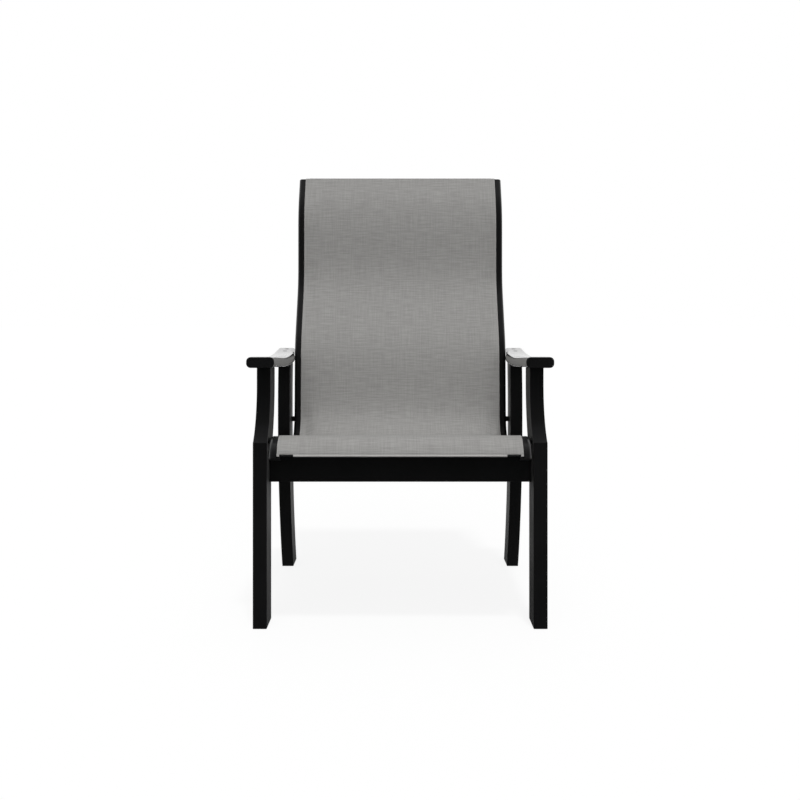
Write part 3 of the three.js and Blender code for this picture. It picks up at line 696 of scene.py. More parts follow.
@dataclass
class SlingLine:
    """The line of the seat and back, along the face of the rails that the fabric lies on.

    It is a row of straight stretches with an arc at each corner. Angles are in degrees.
    """

    front_corner_reach: float = 30.0
    front_corner_height: float = 439.0
    front_drop: float = 50.4
    front_lean: float = 13.4
    roll_radius: float = 54.0
    seat_run: float = 590.0
    seat_slope: float = 7.5
    seat_corner_radius: float = 70.0
    lumbar_radius: float = 160.0
    shoulder_radius: float = 160.0
    head_radius: float = 190.0
    # Each stretch of the back: its rise and its lean
    back: tuple[tuple[float, float], ...] = ((260.0, 3.1), (180.0, 29.2), (204.0, 0.0), (92.6, 29.5))
    arc_step: float = 2.0
    # How far to either side the line's direction is measured
    probe: float = 0.5
    # How far out, in spreads, a bell curve is followed, and at how many places
    bell_reach: float = 2.5
    bell_places: int = 41

    def __post_init__(self) -> None:
        """Draws the line as points with the distance along it."""
        self.points = self.rounded(self.corners())
        steps = np.diff(self.points, axis=0)
        lengths = np.linalg.norm(steps, axis=1)
        self.distances = np.concatenate([[0.0], np.cumsum(lengths)])
        self.length = float(self.distances[-1])

    def corners(self) -> list[tuple[float, float, float]]:
        """Adds up the stretches of the seat and the back.

        Returns:
            Each corner's setback, height and radius, from the front end to the top end.
        """
        lean, slope = math.radians(self.front_lean), math.radians(self.seat_slope)
        front = (-self.front_corner_reach, self.front_corner_height, self.roll_radius)
        end = (front[0] - self.front_drop * math.sin(lean), front[1] - self.front_drop * math.cos(lean), 0.0)
        seat = (
            front[0] + self.seat_run * math.cos(slope),
            front[1] - self.seat_run * math.sin(slope),
            self.seat_corner_radius,
        )
        found = [end, front, seat]
        radii = (self.lumbar_radius, self.shoulder_radius, self.head_radius, 0.0)
        for (rise, tilt), radius in zip(self.back, radii):
            setback, height, _ = found[-1]
            found.append((setback + rise * math.tan(math.radians(tilt)), height + rise, radius))
        return found

    def rounded(self, corners: list[tuple[float, float, float]]) -> Array:
        """Rounds each corner by an arc that touches both of its stretches.

        Args:
            corners: Setback, height and radius of each corner.

        Returns:
            The points of the rounded line.
        """
        places = np.array(corners)[:, :2]
        points = [places[:1]]
        for i in range(1, len(corners) - 1):
            radius = corners[i][2]
            arriving, leaving = places[i] - places[i - 1], places[i + 1] - places[i]
            turn = math.degrees(
                math.atan2(
                    arriving[0] * leaving[1] - arriving[1] * leaving[0], float(np.dot(arriving, leaving))
                )
            )
            arriving /= np.linalg.norm(arriving)
            start = places[i] - arriving * radius * math.tan(math.radians(abs(turn)) / 2)
            to_centre = np.array([-arriving[1], arriving[0]]) * math.copysign(radius, turn)
            first = math.degrees(math.atan2(-to_centre[1], -to_centre[0]))
            steps = math.ceil(abs(turn) / self.arc_step)
            points.append(arc(start + to_centre, radius, first, first + turn, steps))
        points.append(places[-1:])
        return np.concatenate(points)

    def at(self, distance: Array) -> tuple[Array, Array]:
        """Places on the line and their upper normals. The line runs on straight past either end.

        Args:
            distance: Distances from the front end.

        Returns:
            Places and normals, each shaped (distances, 2).
        """
        held = np.clip(distance, 0, self.length)
        before, after = (np.clip(held + step, 0, self.length) for step in (-self.probe, self.probe))

        def place(where: Array) -> Array:
            """Places between the drawn points."""
            return np.stack([np.interp(where, self.distances, self.points[:, k]) for k in (0, 1)], axis=-1)

        along = place(after) - place(before)
        along /= np.linalg.norm(along, axis=1, keepdims=True)
        places = place(held) + along * (distance - held)[:, None]
        return places, np.stack([-along[:, 1], along[:, 0]], axis=-1)

    def bridged(self, distance: Array, reach: float) -> Array:
        """How far a cloth that is pulled along the line stands off its bends.

        It is the height above the line of the line's own mean, weighted by a bell curve about as wide as
        the reach to either side.

        Args:
            distance: Distances from the front end.
            reach: The bell curve's spread.

        Returns:
            The heights: above the line in a hollow bend, below it on a crown.
        """
        away = np.linspace(-self.bell_reach, self.bell_reach, self.bell_places)
        weight = np.exp(-(away**2) / 2)
        weight /= weight.sum()
        around = (distance[:, None] + away * reach).ravel()
        mean = np.einsum("k,nkc->nc", weight, self.at(around)[0].reshape(len(distance), -1, 2))
        places, normals = self.at(distance)
        return np.sum((mean - places) * normals, axis=1)

    def carry(self, section: Array, distance: Array) -> Array:
        """Carries sections in X and in height above the line along it.

        Args:
            section: One section, shaped (points, 2), or one for each distance.
            distance: Distances from the front end.

        Returns:
            Rings of points, shaped (distances, points, 3).
        """
        sections = np.broadcast_to(section, (len(distance), *section.shape[-2:]))
        places, normals = self.at(distance)
        upright = places[:, None] + sections[..., 1:] * normals[:, None]
        return np.concatenate([sections[..., :1], upright], axis=-1)


@dataclass
class SideFrame:
    """Two legs, an arm and a side rail on each side, and the two boards between the sides."""

    materials: Materials
    clear_width: float = 600.4
    thickness: float = 31.75
    ease: float = 1.7
    gap: float = 0.3
    front_leg_depth: float = 88.0
    knee_height: float = 419.0
    sweep_top: float = 547.0
    post_setback: float = 71.0
    post_depth: float = 89.0
    hock_drop: float = 45.0
    hock_lead: float = 7.0
    knee_shares: Shares = ((0.6, 0.2), (1, 0.57))
    hock_shares: Shares = ((0.23, 0.16), (0.93, 0.43))
    rear_leg_depth: float = 90.0
    upright_setback: float = 515.0
    flare_height: float = 420.0
    flare_reach: float = 113.0
    flare_shares: Shares = ((0.53, 0.262), (1, 0.643))
    lean_height: float = 454.0
    lean_reach: float = 15.0
    lean_shares: Shares = ((0, 0.34), (0.4, 0.68))
    # How many places of a leg's top follow the arm
    top_places: int = 9
    arm_width: float = 63.0
    arm_thickness: float = 24.5
    arm_corner: float = 10.0
    arm_overhang: float = 18.0
    arm_front: float = -13.0
    arm_rear: float = 626.0
    arm_height: float = 612.5
    arm_dip: float = 12.0
    arm_dip_share: float = 0.556
    arm_rear_rise: float = 2.0
    arm_front_shares: Shares = ((0.29, 0), (0.69, 1))
    arm_rear_shares: Shares = ((0.355, 0), (0.64, 0.29))
    arm_rings: int = 81
    arm_corner_steps: int = 8
    relief_start: float = 470.0
    relief_run: float = 85.0
    relief_depth: float = 11.0
    # The radius of the hole round a fastener's head, and its depth
    screw_hole: float = 5.9
    screw_recess: float = 0.9
    arm_recess: float = 0.1
    bolt_hole: float = 8.5
    bolt_recess: float = 5.0

    def __post_init__(self) -> None:
        """Works out the faces of the boards and the line of the arms' tops."""
        self.inner = self.clear_width / 2
        self.outer = self.inner + self.thickness
        self.arm_inner = self.inner - self.arm_overhang
        self.arm_outer = self.arm_inner + self.arm_width
        front = (self.arm_front, self.arm_height)
        dip_setback = self.arm_front + (self.arm_rear - self.arm_front) * self.arm_dip_share
        dip = (dip_setback, self.arm_height - self.arm_dip)
        rear = (self.arm_rear, self.arm_height + self.arm_rear_rise)
        first = bezier(front, dip, self.arm_front_shares)
        self.arm_line = np.concatenate([first, bezier(dip, rear, self.arm_rear_shares)[1:]])

    def arm_top(self, setback: Array) -> Array:
        """The height of the arm's top at given setbacks."""
        return np.interp(setback, self.arm_line[:, 0], self.arm_line[:, 1])

    def leg_top(self, low: float, high: float) -> Array:
        """The upper end of a leg, which follows the arm's underside from high to low setback."""
        setback = np.linspace(high, low, self.top_places)
        return np.stack([setback, self.arm_top(setback) - self.arm_thickness - self.gap], axis=-1)

    def front_leg(self) -> Array:
        """The outline of a front leg: upright to its knee, then swept back to the post under the arm.

        Returns:
            The anticlockwise outline as setbacks and heights.
        """
        knee = (0.0, self.knee_height)
        post = (self.post_setback, self.sweep_top)
        hock = (self.front_leg_depth, self.knee_height - self.hock_drop)
        back = self.post_setback + self.post_depth
        rear = (back, self.sweep_top - self.hock_lead)
        return np.concatenate(
            [
                [(0.0, 0.0), (self.front_leg_depth, 0.0)],
                bezier(hock, rear, self.hock_shares),
                self.leg_top(self.post_setback, back),
                bezier(post, knee, turned_round(self.knee_shares)),
            ]
        )

    def rear_leg(self) -> Array:
        """The outline of a rear leg: its foot is swept back and its top leans back a little.

        Returns:
            The anticlockwise outline as setbacks and heights.
        """
        depth = np.array([self.rear_leg_depth, 0.0])
        foot = np.array([self.upright_setback + self.flare_reach, 0.0])
        flare = np.array([self.upright_setback, self.flare_height])
        lean = np.array([self.upright_setback, self.lean_height])
        top = np.array([self.upright_setback + self.lean_reach, self.arm_height - self.arm_thickness / 2])
        behind = bezier(lean + depth, top + depth, self.lean_shares)
        ahead = bezier(top, lean, turned_round(self.lean_shares))
        ceiling = self.arm_height - self.arm_dip - self.arm_thickness - self.arm_rear_rise
        behind = behind[behind[:, 1] < ceiling]
        ahead = ahead[ahead[:, 1] < ceiling]
        return np.concatenate(
            [
                bezier(foot + depth, flare + depth, self.flare_shares),
                behind,
                self.leg_top(ahead[0, 0], behind[-1, 0]),
                ahead,
                bezier(flare, foot, turned_round(self.flare_shares)),
            ]
        )

    def head_hole(self, node: str) -> Shell:
        """A cutter round a fastener's head in a leg's outer face.

        Args:
            node: The fastener's CAD node, on the left.

        Returns:
            A cylinder that stands out of the face by half the board's thickness.
        """
        low, high = cad_box(node)
        bolt = "bolt" in node
        radius, depth = (self.bolt_hole, self.bolt_recess) if bolt else (self.screw_hole, self.screw_recess)
        proud = self.thickness / 2
        place = (self.outer + proud, (low[1] + high[1]) / 2, (low[2] + high[2]) / 2)
        return turned(drum(radius, proud + depth), place, (-1, 0, 0))

    def arm_holes(self) -> list[Shell]:
        """Cutters round the four screw heads in the left arm's top.

        Returns:
            A cylinder for each, that stands out of the top by half the arm's thickness.
        """
        proud = self.arm_thickness / 2
        boxes = [cad_box(f"arm_screw_{name}_left") for name in ARM_SCREWS]
        places = [(*((low + high) / 2)[:2], high[2] + proud) for low, high in boxes]
        return [turned(drum(self.screw_hole, proud + self.arm_recess), place, (0, 0, -1)) for place in places]

    def arm_shell(self) -> Shell:
        """The arm: a rectangle with well rounded corners, carried along the arm's line.

        Its inner edge moves outwards beside the back by a smooth step, and its two ends are rounded.

        Returns:
            The left arm.
        """
        radius, steps = self.arm_corner, self.arm_corner_steps
        lower = radius - self.arm_thickness
        insets, depths = rounding(self.ease)
        middle = np.linspace(self.arm_front + self.ease, self.arm_rear - self.ease, self.arm_rings)[1:-1]
        setback = np.concatenate([self.arm_front + depths, middle, self.arm_rear - depths[::-1]])
        inwards = np.concatenate([insets, np.zeros(len(middle)), insets[::-1]])
        relief = self.relief_depth * smooth((setback - self.relief_start) / self.relief_run)
        inner = [
            arc((self.arm_inner + radius, -radius), radius, 90, 180, steps),
            arc((self.arm_inner + radius, lower), radius, 180, 270, steps),
        ]
        outer = [
            arc((self.arm_outer - radius, lower), radius, -90, 0, steps),
            arc((self.arm_outer - radius, -radius), radius, 0, 90, steps),
        ]
        section = np.concatenate([*inner, *outer])
        rings = inset(section, inwards)
        rings[:, : len(section) // 2, 0] += relief[:, None]
        slope = np.gradient(self.arm_top(setback), setback)
        heights = rings[..., 1]
        lean = np.hypot(1, slope)[:, None]
        y = setback[:, None] - heights * slope[:, None] / lean
        z = self.arm_top(setback)[:, None] + heights / lean
        return skin(np.stack([rings[..., 0], y, z], axis=-1))

    def side_rail(self) -> Shell:
        """A side rail: a rounded rectangle in X and Z, carried back until it meets the rear leg's flare.

        Returns:
            The left rail.
        """
        low, high = cad_box("side_rail_left")
        section = rectangle((self.inner, low[2]), (self.outer, high[2]), self.ease)
        foot = (self.upright_setback + self.flare_reach, 0)
        flare = bezier(foot, (self.upright_setback, self.flare_height), self.flare_shares)
        start = np.full(len(section), self.front_leg_depth + self.gap)
        end = np.interp(section[:, 1], flare[:, 1], flare[:, 0]) - self.gap
        rings = [np.stack([section[:, 0], y, section[:, 1]], axis=-1) for y in (start, end)]
        return skin(np.stack(rings))

    def cross_board(self, node: str) -> Shell:
        """A board between the sides: a rounded rectangle in Y and Z, carried across.

        Args:
            node: Its CAD node.

        Returns:
            The board.
        """
        low, high = cad_box(node)
        section = rectangle(low[1:], high[1:], self.ease)
        rings = [np.insert(section, 0, x, axis=1) for x in (low[0], high[0])]
        return skin(np.stack(rings))

    def build(self) -> None:
        """Makes the ten boards."""
        black, wiped = self.materials["board"], self.materials["arm"]
        # Each side's boards, and the fasteners whose heads are sunk into their outer faces
        boards = {
            "front_leg": (
                board(self.front_leg(), self.inner, self.outer, self.ease),
                ("front_sling_bolt", "apron_screw_lower", "apron_screw_upper"),
            ),
            "rear_leg": (
                board(self.rear_leg(), self.inner, self.outer, self.ease),
                ("rear_sling_bolt", "stretcher_screw_lower", "stretcher_screw_upper"),
            ),
            "side_rail": (self.side_rail(), ()),
        }
        for side in Side:
            for name, (shell, heads) in boards.items():
                holes = [mirrored(self.head_hole(f"{head}_left"), side) for head in heads]
                node = f"{name}_{side.label}"
                make_piece(f"{node}_board", [mirrored(shell, side)], black, [node], holes)
            node = f"arm_{side.label}"
            holes = [mirrored(hole, side) for hole in self.arm_holes()]
            make_piece(f"{node}_board", [mirrored(self.arm_shell(), side)], wiped, [node], holes)
        for node in ("front_apron", "rear_stretcher"):
            make_piece(f"{node}_board", [self.cross_board(node)], black, [node])


@dataclass
class SlingFrame:
    """The two bent rails with their plugs, splines and spreaders."""

    line: SlingLine
    materials: Materials
    outer: float = 291.7
    width: float = 26.0
    depth: float = 27.0
    wall: float = 2.0
    # The rail's corners: the upper outer one is the crown
    crown: float = 8.0
    crown_steps: int = 10
    corner: float = 3.0
    corner_steps: int = 5
    groove: float = 273.2
    neck_half: float = 1.2
    channel_radius: float = 3.6
    channel_depth: float = 7.0
    channel_steps: int = 18
    gap: float = 0.3
    plate: float = 2.2
    plate_edge: float = 0.8
    spline_radius: float = 1.5
    spline_sides: int = 24
    spline_start: float = 3.5
    spline_end_inset: float = 2.0
    station: float = 5.0
    access_hole: float = 6.2
    access_sides: int = 32
    spreader_radius: float = 8.0
    spreader_edge: float = 0.6

    @property
    def inner(self) -> float:
        """The inner side of the left rail."""
        return self.outer - self.width

    def blank(self) -> Array:
        """The rail's outline without its groove: small corners, and a large one beside the fabric.

        Returns:
            The outline in X and height. Its last points are the corner beside the fabric's flat.
        """
        corner, crown, steps = self.corner, self.crown, self.corner_steps
        lower = corner - self.depth
        return np.concatenate(
            [
                arc((self.inner + corner, lower), corner, 180, 270, steps),
                arc((self.outer - corner, lower), corner, 270, 360, steps),
                arc((self.outer - crown, -crown), crown, 0, 90, self.crown_steps),
                arc((self.inner + corner, -corner), corner, 90, 180, steps),
            ]
        )

    def section(self) -> Array:
        """The rail's outline with the keyhole channel that holds the fabric and its spline.

        Returns:
            The outline in X and height.
        """
        blank, last = self.blank(), self.corner_steps + 1
        opening = math.degrees(math.acos(self.neck_half / self.channel_radius))
        centre = (self.groove, -self.channel_depth)
        channel = arc(centre, self.channel_radius, opening, -180 - opening, self.channel_steps)
        groove = [[(self.groove + self.neck_half, 0)], channel, [(self.groove - self.neck_half, 0)]]
        return np.concatenate([blank[:-last], *groove, blank[-last:]])

    def stations(self, start: float, end: float) -> Array:
        """Even distances along the line, about one station apart."""
        return np.linspace(start, end, math.ceil((end - start) / self.station) + 1)

    def plug(self, start: float, end: float) -> Shell:
        """An end plug: the rail's outline, with both of its edges rounded.

        Args:
            start: Where it starts along the line.
            end: Where it ends.

        Returns:
            The left rail's plug.
        """
        insets, depths = rounding(self.plate_edge)
        rings = inset(self.blank(), np.concatenate([insets, insets[::-1]]))
        return skin(self.line.carry(rings, np.concatenate([start + depths, end - depths[::-1]])))

    def access_holes(self) -> list[Shell]:
        """Cutters through the left rail's outer side, one to each spreader bolt's head.

        Returns:
            A cylinder for each.
        """
        holes = []
        for node in SPREADERS:
            low, high = cad_box(f"{node}_bolt_left")
            place = (self.outer + self.wall, (low[1] + high[1]) / 2, (low[2] + high[2]) / 2)
            holes.append(turned(drum(self.access_hole, self.width), place, (-1, 0, 0), self.access_sides))
        return holes

    def spreader(self, node: str) -> Shell:
        """A spreader tube, closed at its ends by the rails, with slightly broken edges.

        Args:
            node: Its CAD node.

        Returns:
            The tube.
        """
        low, high = cad_box(node)
        place = (low[0], (low[1] + high[1]) / 2, (low[2] + high[2]) / 2)
        return turned(bar(self.spreader_radius, high[0] - low[0], self.spreader_edge), place, (1, 0, 0))

    def build(self) -> None:
        """Makes the rails, splines, plugs and spreaders."""
        length, gap = self.line.length, self.gap
        coat, vinyl, nylon = (self.materials[name] for name in ("rail", "spline", "fitting"))
        rail = skin(self.line.carry(self.section(), self.stations(0, length)))
        rod_stations = self.stations(self.spline_start, length - self.spline_end_inset)
        sides = self.spline_sides
        circle = arc((self.groove, -self.channel_depth), self.spline_radius, 0, 360 - 360 / sides, sides - 1)
        rod = skin(self.line.carry(circle, rod_stations))
        plugs = {
            "front_cap": self.plug(-gap - self.plate, -gap),
            "top_cap": self.plug(length + gap, length + gap + self.plate),
        }
        for side in Side:
            node = f"sling_rail_{side.label}"
            holes = [mirrored(hole, side) for hole in self.access_holes()]
            make_piece(f"{node}_extrusion", [mirrored(rail, side)], coat, [node], holes)
            node = f"sling_spline_{side.label}"
            make_piece(f"{node}_rod", [mirrored(rod, side)], vinyl, [node])
            for name, plug in plugs.items():
                node = f"{name}_{side.label}"
                make_piece(f"{node}_plug", [mirrored(plug, side)], nylon, [node])
        for node in SPREADERS:
            make_piece(f"{node}_tube", [self.spreader(node)], coat, [node])


@dataclass
class Sling:
    """The sheet of mesh fabric with its hems, its seams and the rod in its front hem.

    The sheet starts at a crease behind its front hem. Heights count from the line, along its normals.
    """

    line: SlingLine
    materials: Materials
    thickness: float = 0.9
    # The height of the sheet's middle surface
    rise: float = 0.8
    groove: float = 273.2
    groove_depth: float = 7.0
    ring_radius: float = 2.3
    ring_steps: int = 14
    bend_radius: float = 1.3
    bend_steps: int = 6
    crease: float = 7.8
    crease_dip: float = 1.4
    crease_run: float = 1.8
    # The first rows of the mesh, by their distance from the crease, where it bends most
    crease_rows: tuple[float, ...] = (0.0, 0.5, 1.0, 1.6, 2.5, 4.0)
    top_lip: float = 3.4
    side_tuck_run: float = 7.0
    side_tuck_share: float = 0.12
    seat_sag: float = 4.0
    seat_sag_from: float = 90.0
    seat_sag_run: float = 520.0
    back_sag: float = 1.0
    back_sag_from: float = 640.0
    back_sag_left: float = 60.0
    bridge_reach: float = 50.0
    bridge_from: float = 330.0
    bridge_run: float = 150.0
    bridge_edge: float = 264.0
    bridge_flank: float = 34.0
    pocket_half: float = 237.0
    pocket_thickness: float = 0.7
    pocket_slack: float = 0.3
    # The angles round the rod between which the pocket holds it
    pocket_turn: tuple[float, float] = (40.0, 322.0)
    pocket_steps: int = 24
    # Where the pocket starts behind the crease, and its way back: runs from the crease, and drops
    pocket_start: float = 0.1
    pocket_return: tuple[tuple[float, float], ...] = ((3.0, 0.4), (6.0, 0.0))
    # How far below the sheet's middle surface the layers turned under it lie, and the lower top seam,
    # in thicknesses
    pocket_layer: float = 1.1
    top_layer: float = 1.3
    seam_layer: float = 1.8
    # The angles between which the top hem goes over the lip
    top_turn: tuple[float, float] = (80.0, -90.0)
    top_turn_steps: int = 8
    tab_from: float = 267.8
    tab_overlap: float = 0.4
    # A tab's path: distances and heights
    tab_path: tuple[tuple[float, float], ...] = ((8.8, 0.7), (6.0, 0.7), (3.5, 0.6))
    rod_place: tuple[float, float] = (5.5, -0.9)
    rod_radius: float = 1.7
    rod_edge: float = 0.4
    rod_sides: int = 32
    flap: float = 15.0
    top_flap_half: float = 262.0
    top_flap_run: float = 6.0
    row: float = 6.0
    column: float = 10.0
    front_seam: float = 4.0
    top_seam: float = 10.0
    stitch: float = 2.8
    stitch_pitch: float = 4.0
    stitch_radius: float = 0.32
    stitch_sunk: float = 0.05
    # A stitch's rings, and the points in each
    bead_sides: int = 6

    def sag(self, distance: Array) -> Array:
        """How far the middle of the sheet hangs below its sides.

        It is a smooth hump over the seat plus a lower one over the back, each the square of a sine.

        Args:
            distance: Distances along the line.

        Returns:
            The depths.
        """
        back_run = self.line.length - self.back_sag_from - self.back_sag_left
        seat_share = np.clip((distance - self.seat_sag_from) / self.seat_sag_run, 0, 1)
        back_share = np.clip((distance - self.back_sag_from) / back_run, 0, 1)
        seat = self.seat_sag * np.sin(math.pi * seat_share) ** 2
        return seat + self.back_sag * np.sin(math.pi * back_share) ** 2

    def side(self) -> Array:
        """The left side of the sheet's section: three quarters round the spline, then up over the lip.

        Returns:
            The points in X and height, from inside the groove.
        """
        bend = self.bend_radius
        ring = arc((self.groove, -self.groove_depth), self.ring_radius, -200, 90, self.ring_steps)
        fold = arc((self.groove - bend, self.rise - bend), bend, 0, 90, self.bend_steps)
        return np.concatenate([ring, fold])

    def section(self) -> tuple[Array, Array]:
        """The whole section and the width of cloth along it from the middle.

        Returns:
            The section in X and height, and the distances, in the order from left to right.
        """
        side = self.side()
        edge = side[-1, 0]
        count = math.ceil(2 * edge / self.column)
        across = np.linspace(edge, -edge, count + 1)[1:-1]
        middle = np.stack([across, np.full(len(across), self.rise)], axis=-1)
        section = np.concatenate([side, middle, (side * (-1, 1))[::-1]])
        steps = np.linalg.norm(np.diff(section, axis=0), axis=1)
        width = np.concatenate([[0.0], np.cumsum(steps)])
        return section, width[-1] / 2 - width

    def main_sheet(self) -> Shell:
        """The sheet from the crease over the front hem to the top lip.

        Its sides shorten near the top, where they leave the rails. Its middle sags a little, and bridges the
        bends of the back.

        Returns:
            The closed thin sheet.
        """
        section, width = self.section()
        end = self.line.length + self.top_lip
        near = self.crease + np.array(self.crease_rows)
        rows = math.ceil((end - near[-1]) / self.row)
        distance = np.concatenate([near, np.linspace(near[-1], end, rows + 1)[1:]])
        sections = np.broadcast_to(section, (len(distance), *section.shape)).copy()
        tuck = smooth((distance - (self.line.length - self.side_tuck_run)) / self.side_tuck_run)
        keep = 1 - (1 - self.side_tuck_share) * tuck
        count = len(self.side()) - self.bend_steps - 1
        for part in (slice(0, count), slice(len(section) - count, len(section))):
            hold = section[count] * (np.sign(section[part, :1][0, 0]), 1)
            sections[:, part] = hold + (section[part] - hold) * keep[:, None, None]
        edge = self.groove - self.bend_radius
        upper = section[:, 1] > 0
        inside = np.clip(1 - (section[:, 0] / edge) ** 2, 0, 1) * upper
        dip = self.crease_dip * np.clip(1 - (distance - self.crease) / self.crease_run, 0, 1) ** 2
        begun = smooth((distance - self.bridge_from) / self.bridge_run)
        left = smooth((self.line.length - distance) / self.bridge_run)
        bridge = self.line.bridged(distance, self.bridge_reach) * begun * left
        flank = smooth((self.bridge_edge - np.abs(section[:, 0])) / self.bridge_flank)
        raised = bridge[:, None] * flank - dip[:, None]
        sections[..., 1] += raised * upper - self.sag(distance)[:, None] * inside
        uv = np.stack(np.meshgrid(width, distance), axis=-1) * MM
        return cloth(self.line.carry(sections, distance), self.thickness, uv)

    def hem_path(self) -> Array:
        """The front hem's path: from the crease round the rod and back under the sheet.

        Returns:
            Distances and heights.
        """
        radius = self.rod_radius + self.pocket_slack + self.pocket_thickness / 2
        ring = arc(self.rod_place, radius, *self.pocket_turn, self.pocket_steps)
        under = self.rise - self.pocket_layer * self.thickness
        flap = [(self.crease + run, under - drop) for run, drop in (*self.pocket_return, (self.flap, 0.0))]
        return np.concatenate([[(self.crease + self.pocket_start, self.rise - self.crease_dip)], ring, flap])

    def top_hem(self) -> Array:
        """The top hem's path: over the lip and down the back of the sheet.

        Returns:
            Distances and heights.
        """
        end = self.line.length + self.top_lip
        under = self.rise - self.top_layer * self.thickness
        centre = (end, (self.rise + under) / 2)
        fold = arc(centre, (self.rise - under) / 2, *self.top_turn, self.top_turn_steps)
        flap = [(end - self.top_flap_run, under), (end - self.flap - self.top_lip, under)]
        return np.concatenate([fold, flap])

    def strip(self, path: Array, low: float, high: float, start: float, thickness: float) -> Shell:
        """A strip of cloth across the chair that follows a path of distances and heights.

        Args:
            path: Distances and heights, shaped (points, 2).
            low: Its lower end in X.
            high: Its higher end in X.
            start: The cloth's own coordinate along, at the start of the path.
            thickness: The strip's thickness.

        Returns:
            The closed thin sheet.
        """
        across = np.linspace(high, low, math.ceil((high - low) / self.column) + 1)
        places, normals = self.line.at(path[:, 0])
        points = places + normals * path[:, 1:]
        middle = np.empty((len(path), len(across), 3))
        middle[..., 0] = across
        middle[..., 1:] = points[:, None]
        run = np.concatenate([[0.0], np.cumsum(np.linalg.norm(np.diff(path, axis=0), axis=1))])
        uv = np.stack(np.meshgrid(across, start - run), axis=-1) * MM
        return cloth(middle, thickness, uv)

    def seam(self, distance: float, half: float, height: float) -> list[Shell]:
        """A row of stitches across the sheet: each is a small bead drawn out along X.

        A bead's radius is the stitch radius times the sine of the way along it.

        Args:
            distance: Where the seam lies along the line.
            half: Half of its length.
            height: Its height.

        Returns:
            The stitches.
        """
        sides = self.bead_sides
        count = int(2 * half / self.stitch_pitch)
        starts = (np.arange(count) - count / 2) * self.stitch_pitch
        share = np.linspace(0, 1, sides)
        angle = np.linspace(0, 2 * math.pi, sides, endpoint=False)
        swell = self.stitch_radius * np.sin(math.pi * share)[:, None]
        (place,), (normal,) = self.line.at(np.array([distance]))
        along = np.array([normal[1], -normal[0]])
        around = np.cos(angle)[:, None] * normal + np.sin(angle)[:, None] * along
        bead = np.empty((sides, sides, 3))
        bead[..., 0] = (share * self.stitch)[:, None]
        bead[..., 1:] = place + normal * height + swell[..., None] * around
        return [skin(bead + (start, 0, 0)) for start in starts]

    def rod(self) -> Shell:
        """The bar in the front hem, as long as its CAD node.

        Returns:
            The bar.
        """
        low, high = cad_box("front_hem_rod")
        (place,), (normal,) = self.line.at(np.array([self.rod_place[0]]))
        place = (low[0], *(place + normal * self.rod_place[1]))
        return turned(bar(self.rod_radius, high[0] - low[0], self.rod_edge), place, (1, 0, 0), self.rod_sides)

    def build(self) -> None:
        end, half, wide = self.line.length + self.top_lip, self.pocket_half, self.top_flap_half
        path = np.array(self.tab_path)
        reach = np.array([self.tab_from, self.groove + self.tab_overlap])
        tabs = [self.strip(path, *sorted(side.value * reach), self.crease, self.thickness) for side in Side]
        hem = self.strip(self.hem_path(), -half, half, self.crease, self.pocket_thickness)
        top = self.strip(self.top_hem(), -wide, wide, end, self.thickness)
        shells = [self.main_sheet(), hem, top, *tabs]
        mesh = self.materials["fabric"]
        fabric = make_piece("sling_fabric_sheet", shells, mesh, ["sling_fabric"])
        face = self.rise + self.thickness / 2 - self.stitch_sunk
        seams = self.seam(self.crease + self.front_seam, half, face)
        for height in (face, self.rise - self.seam_layer * self.thickness):
            seams += self.seam(self.line.length - self.top_seam, wide, height)
        stitching = make_piece("sling_stitching", seams, self.materials["thread"])
        make_piece("front_hem_rod_bar", [self.rod()], self.materials["rail"], ["front_hem_rod"])


class Head(Enum):
    """A fastener's head: its radius, its height, its shank's radius and its socket's radius and depth."""

    SLING_BOLT = (7.5, 4.4, 4.0, 3.0, 2.6)
    SPREADER_BOLT = (5.2, 3.3, 3.0, 2.2, 1.9)
    TENON_SCREW = (4.6, 2.6, 2.4, 1.9, 1.5)
    COUNTERSUNK = (5.6, 3.2, 2.8, 2.3, 2.0)


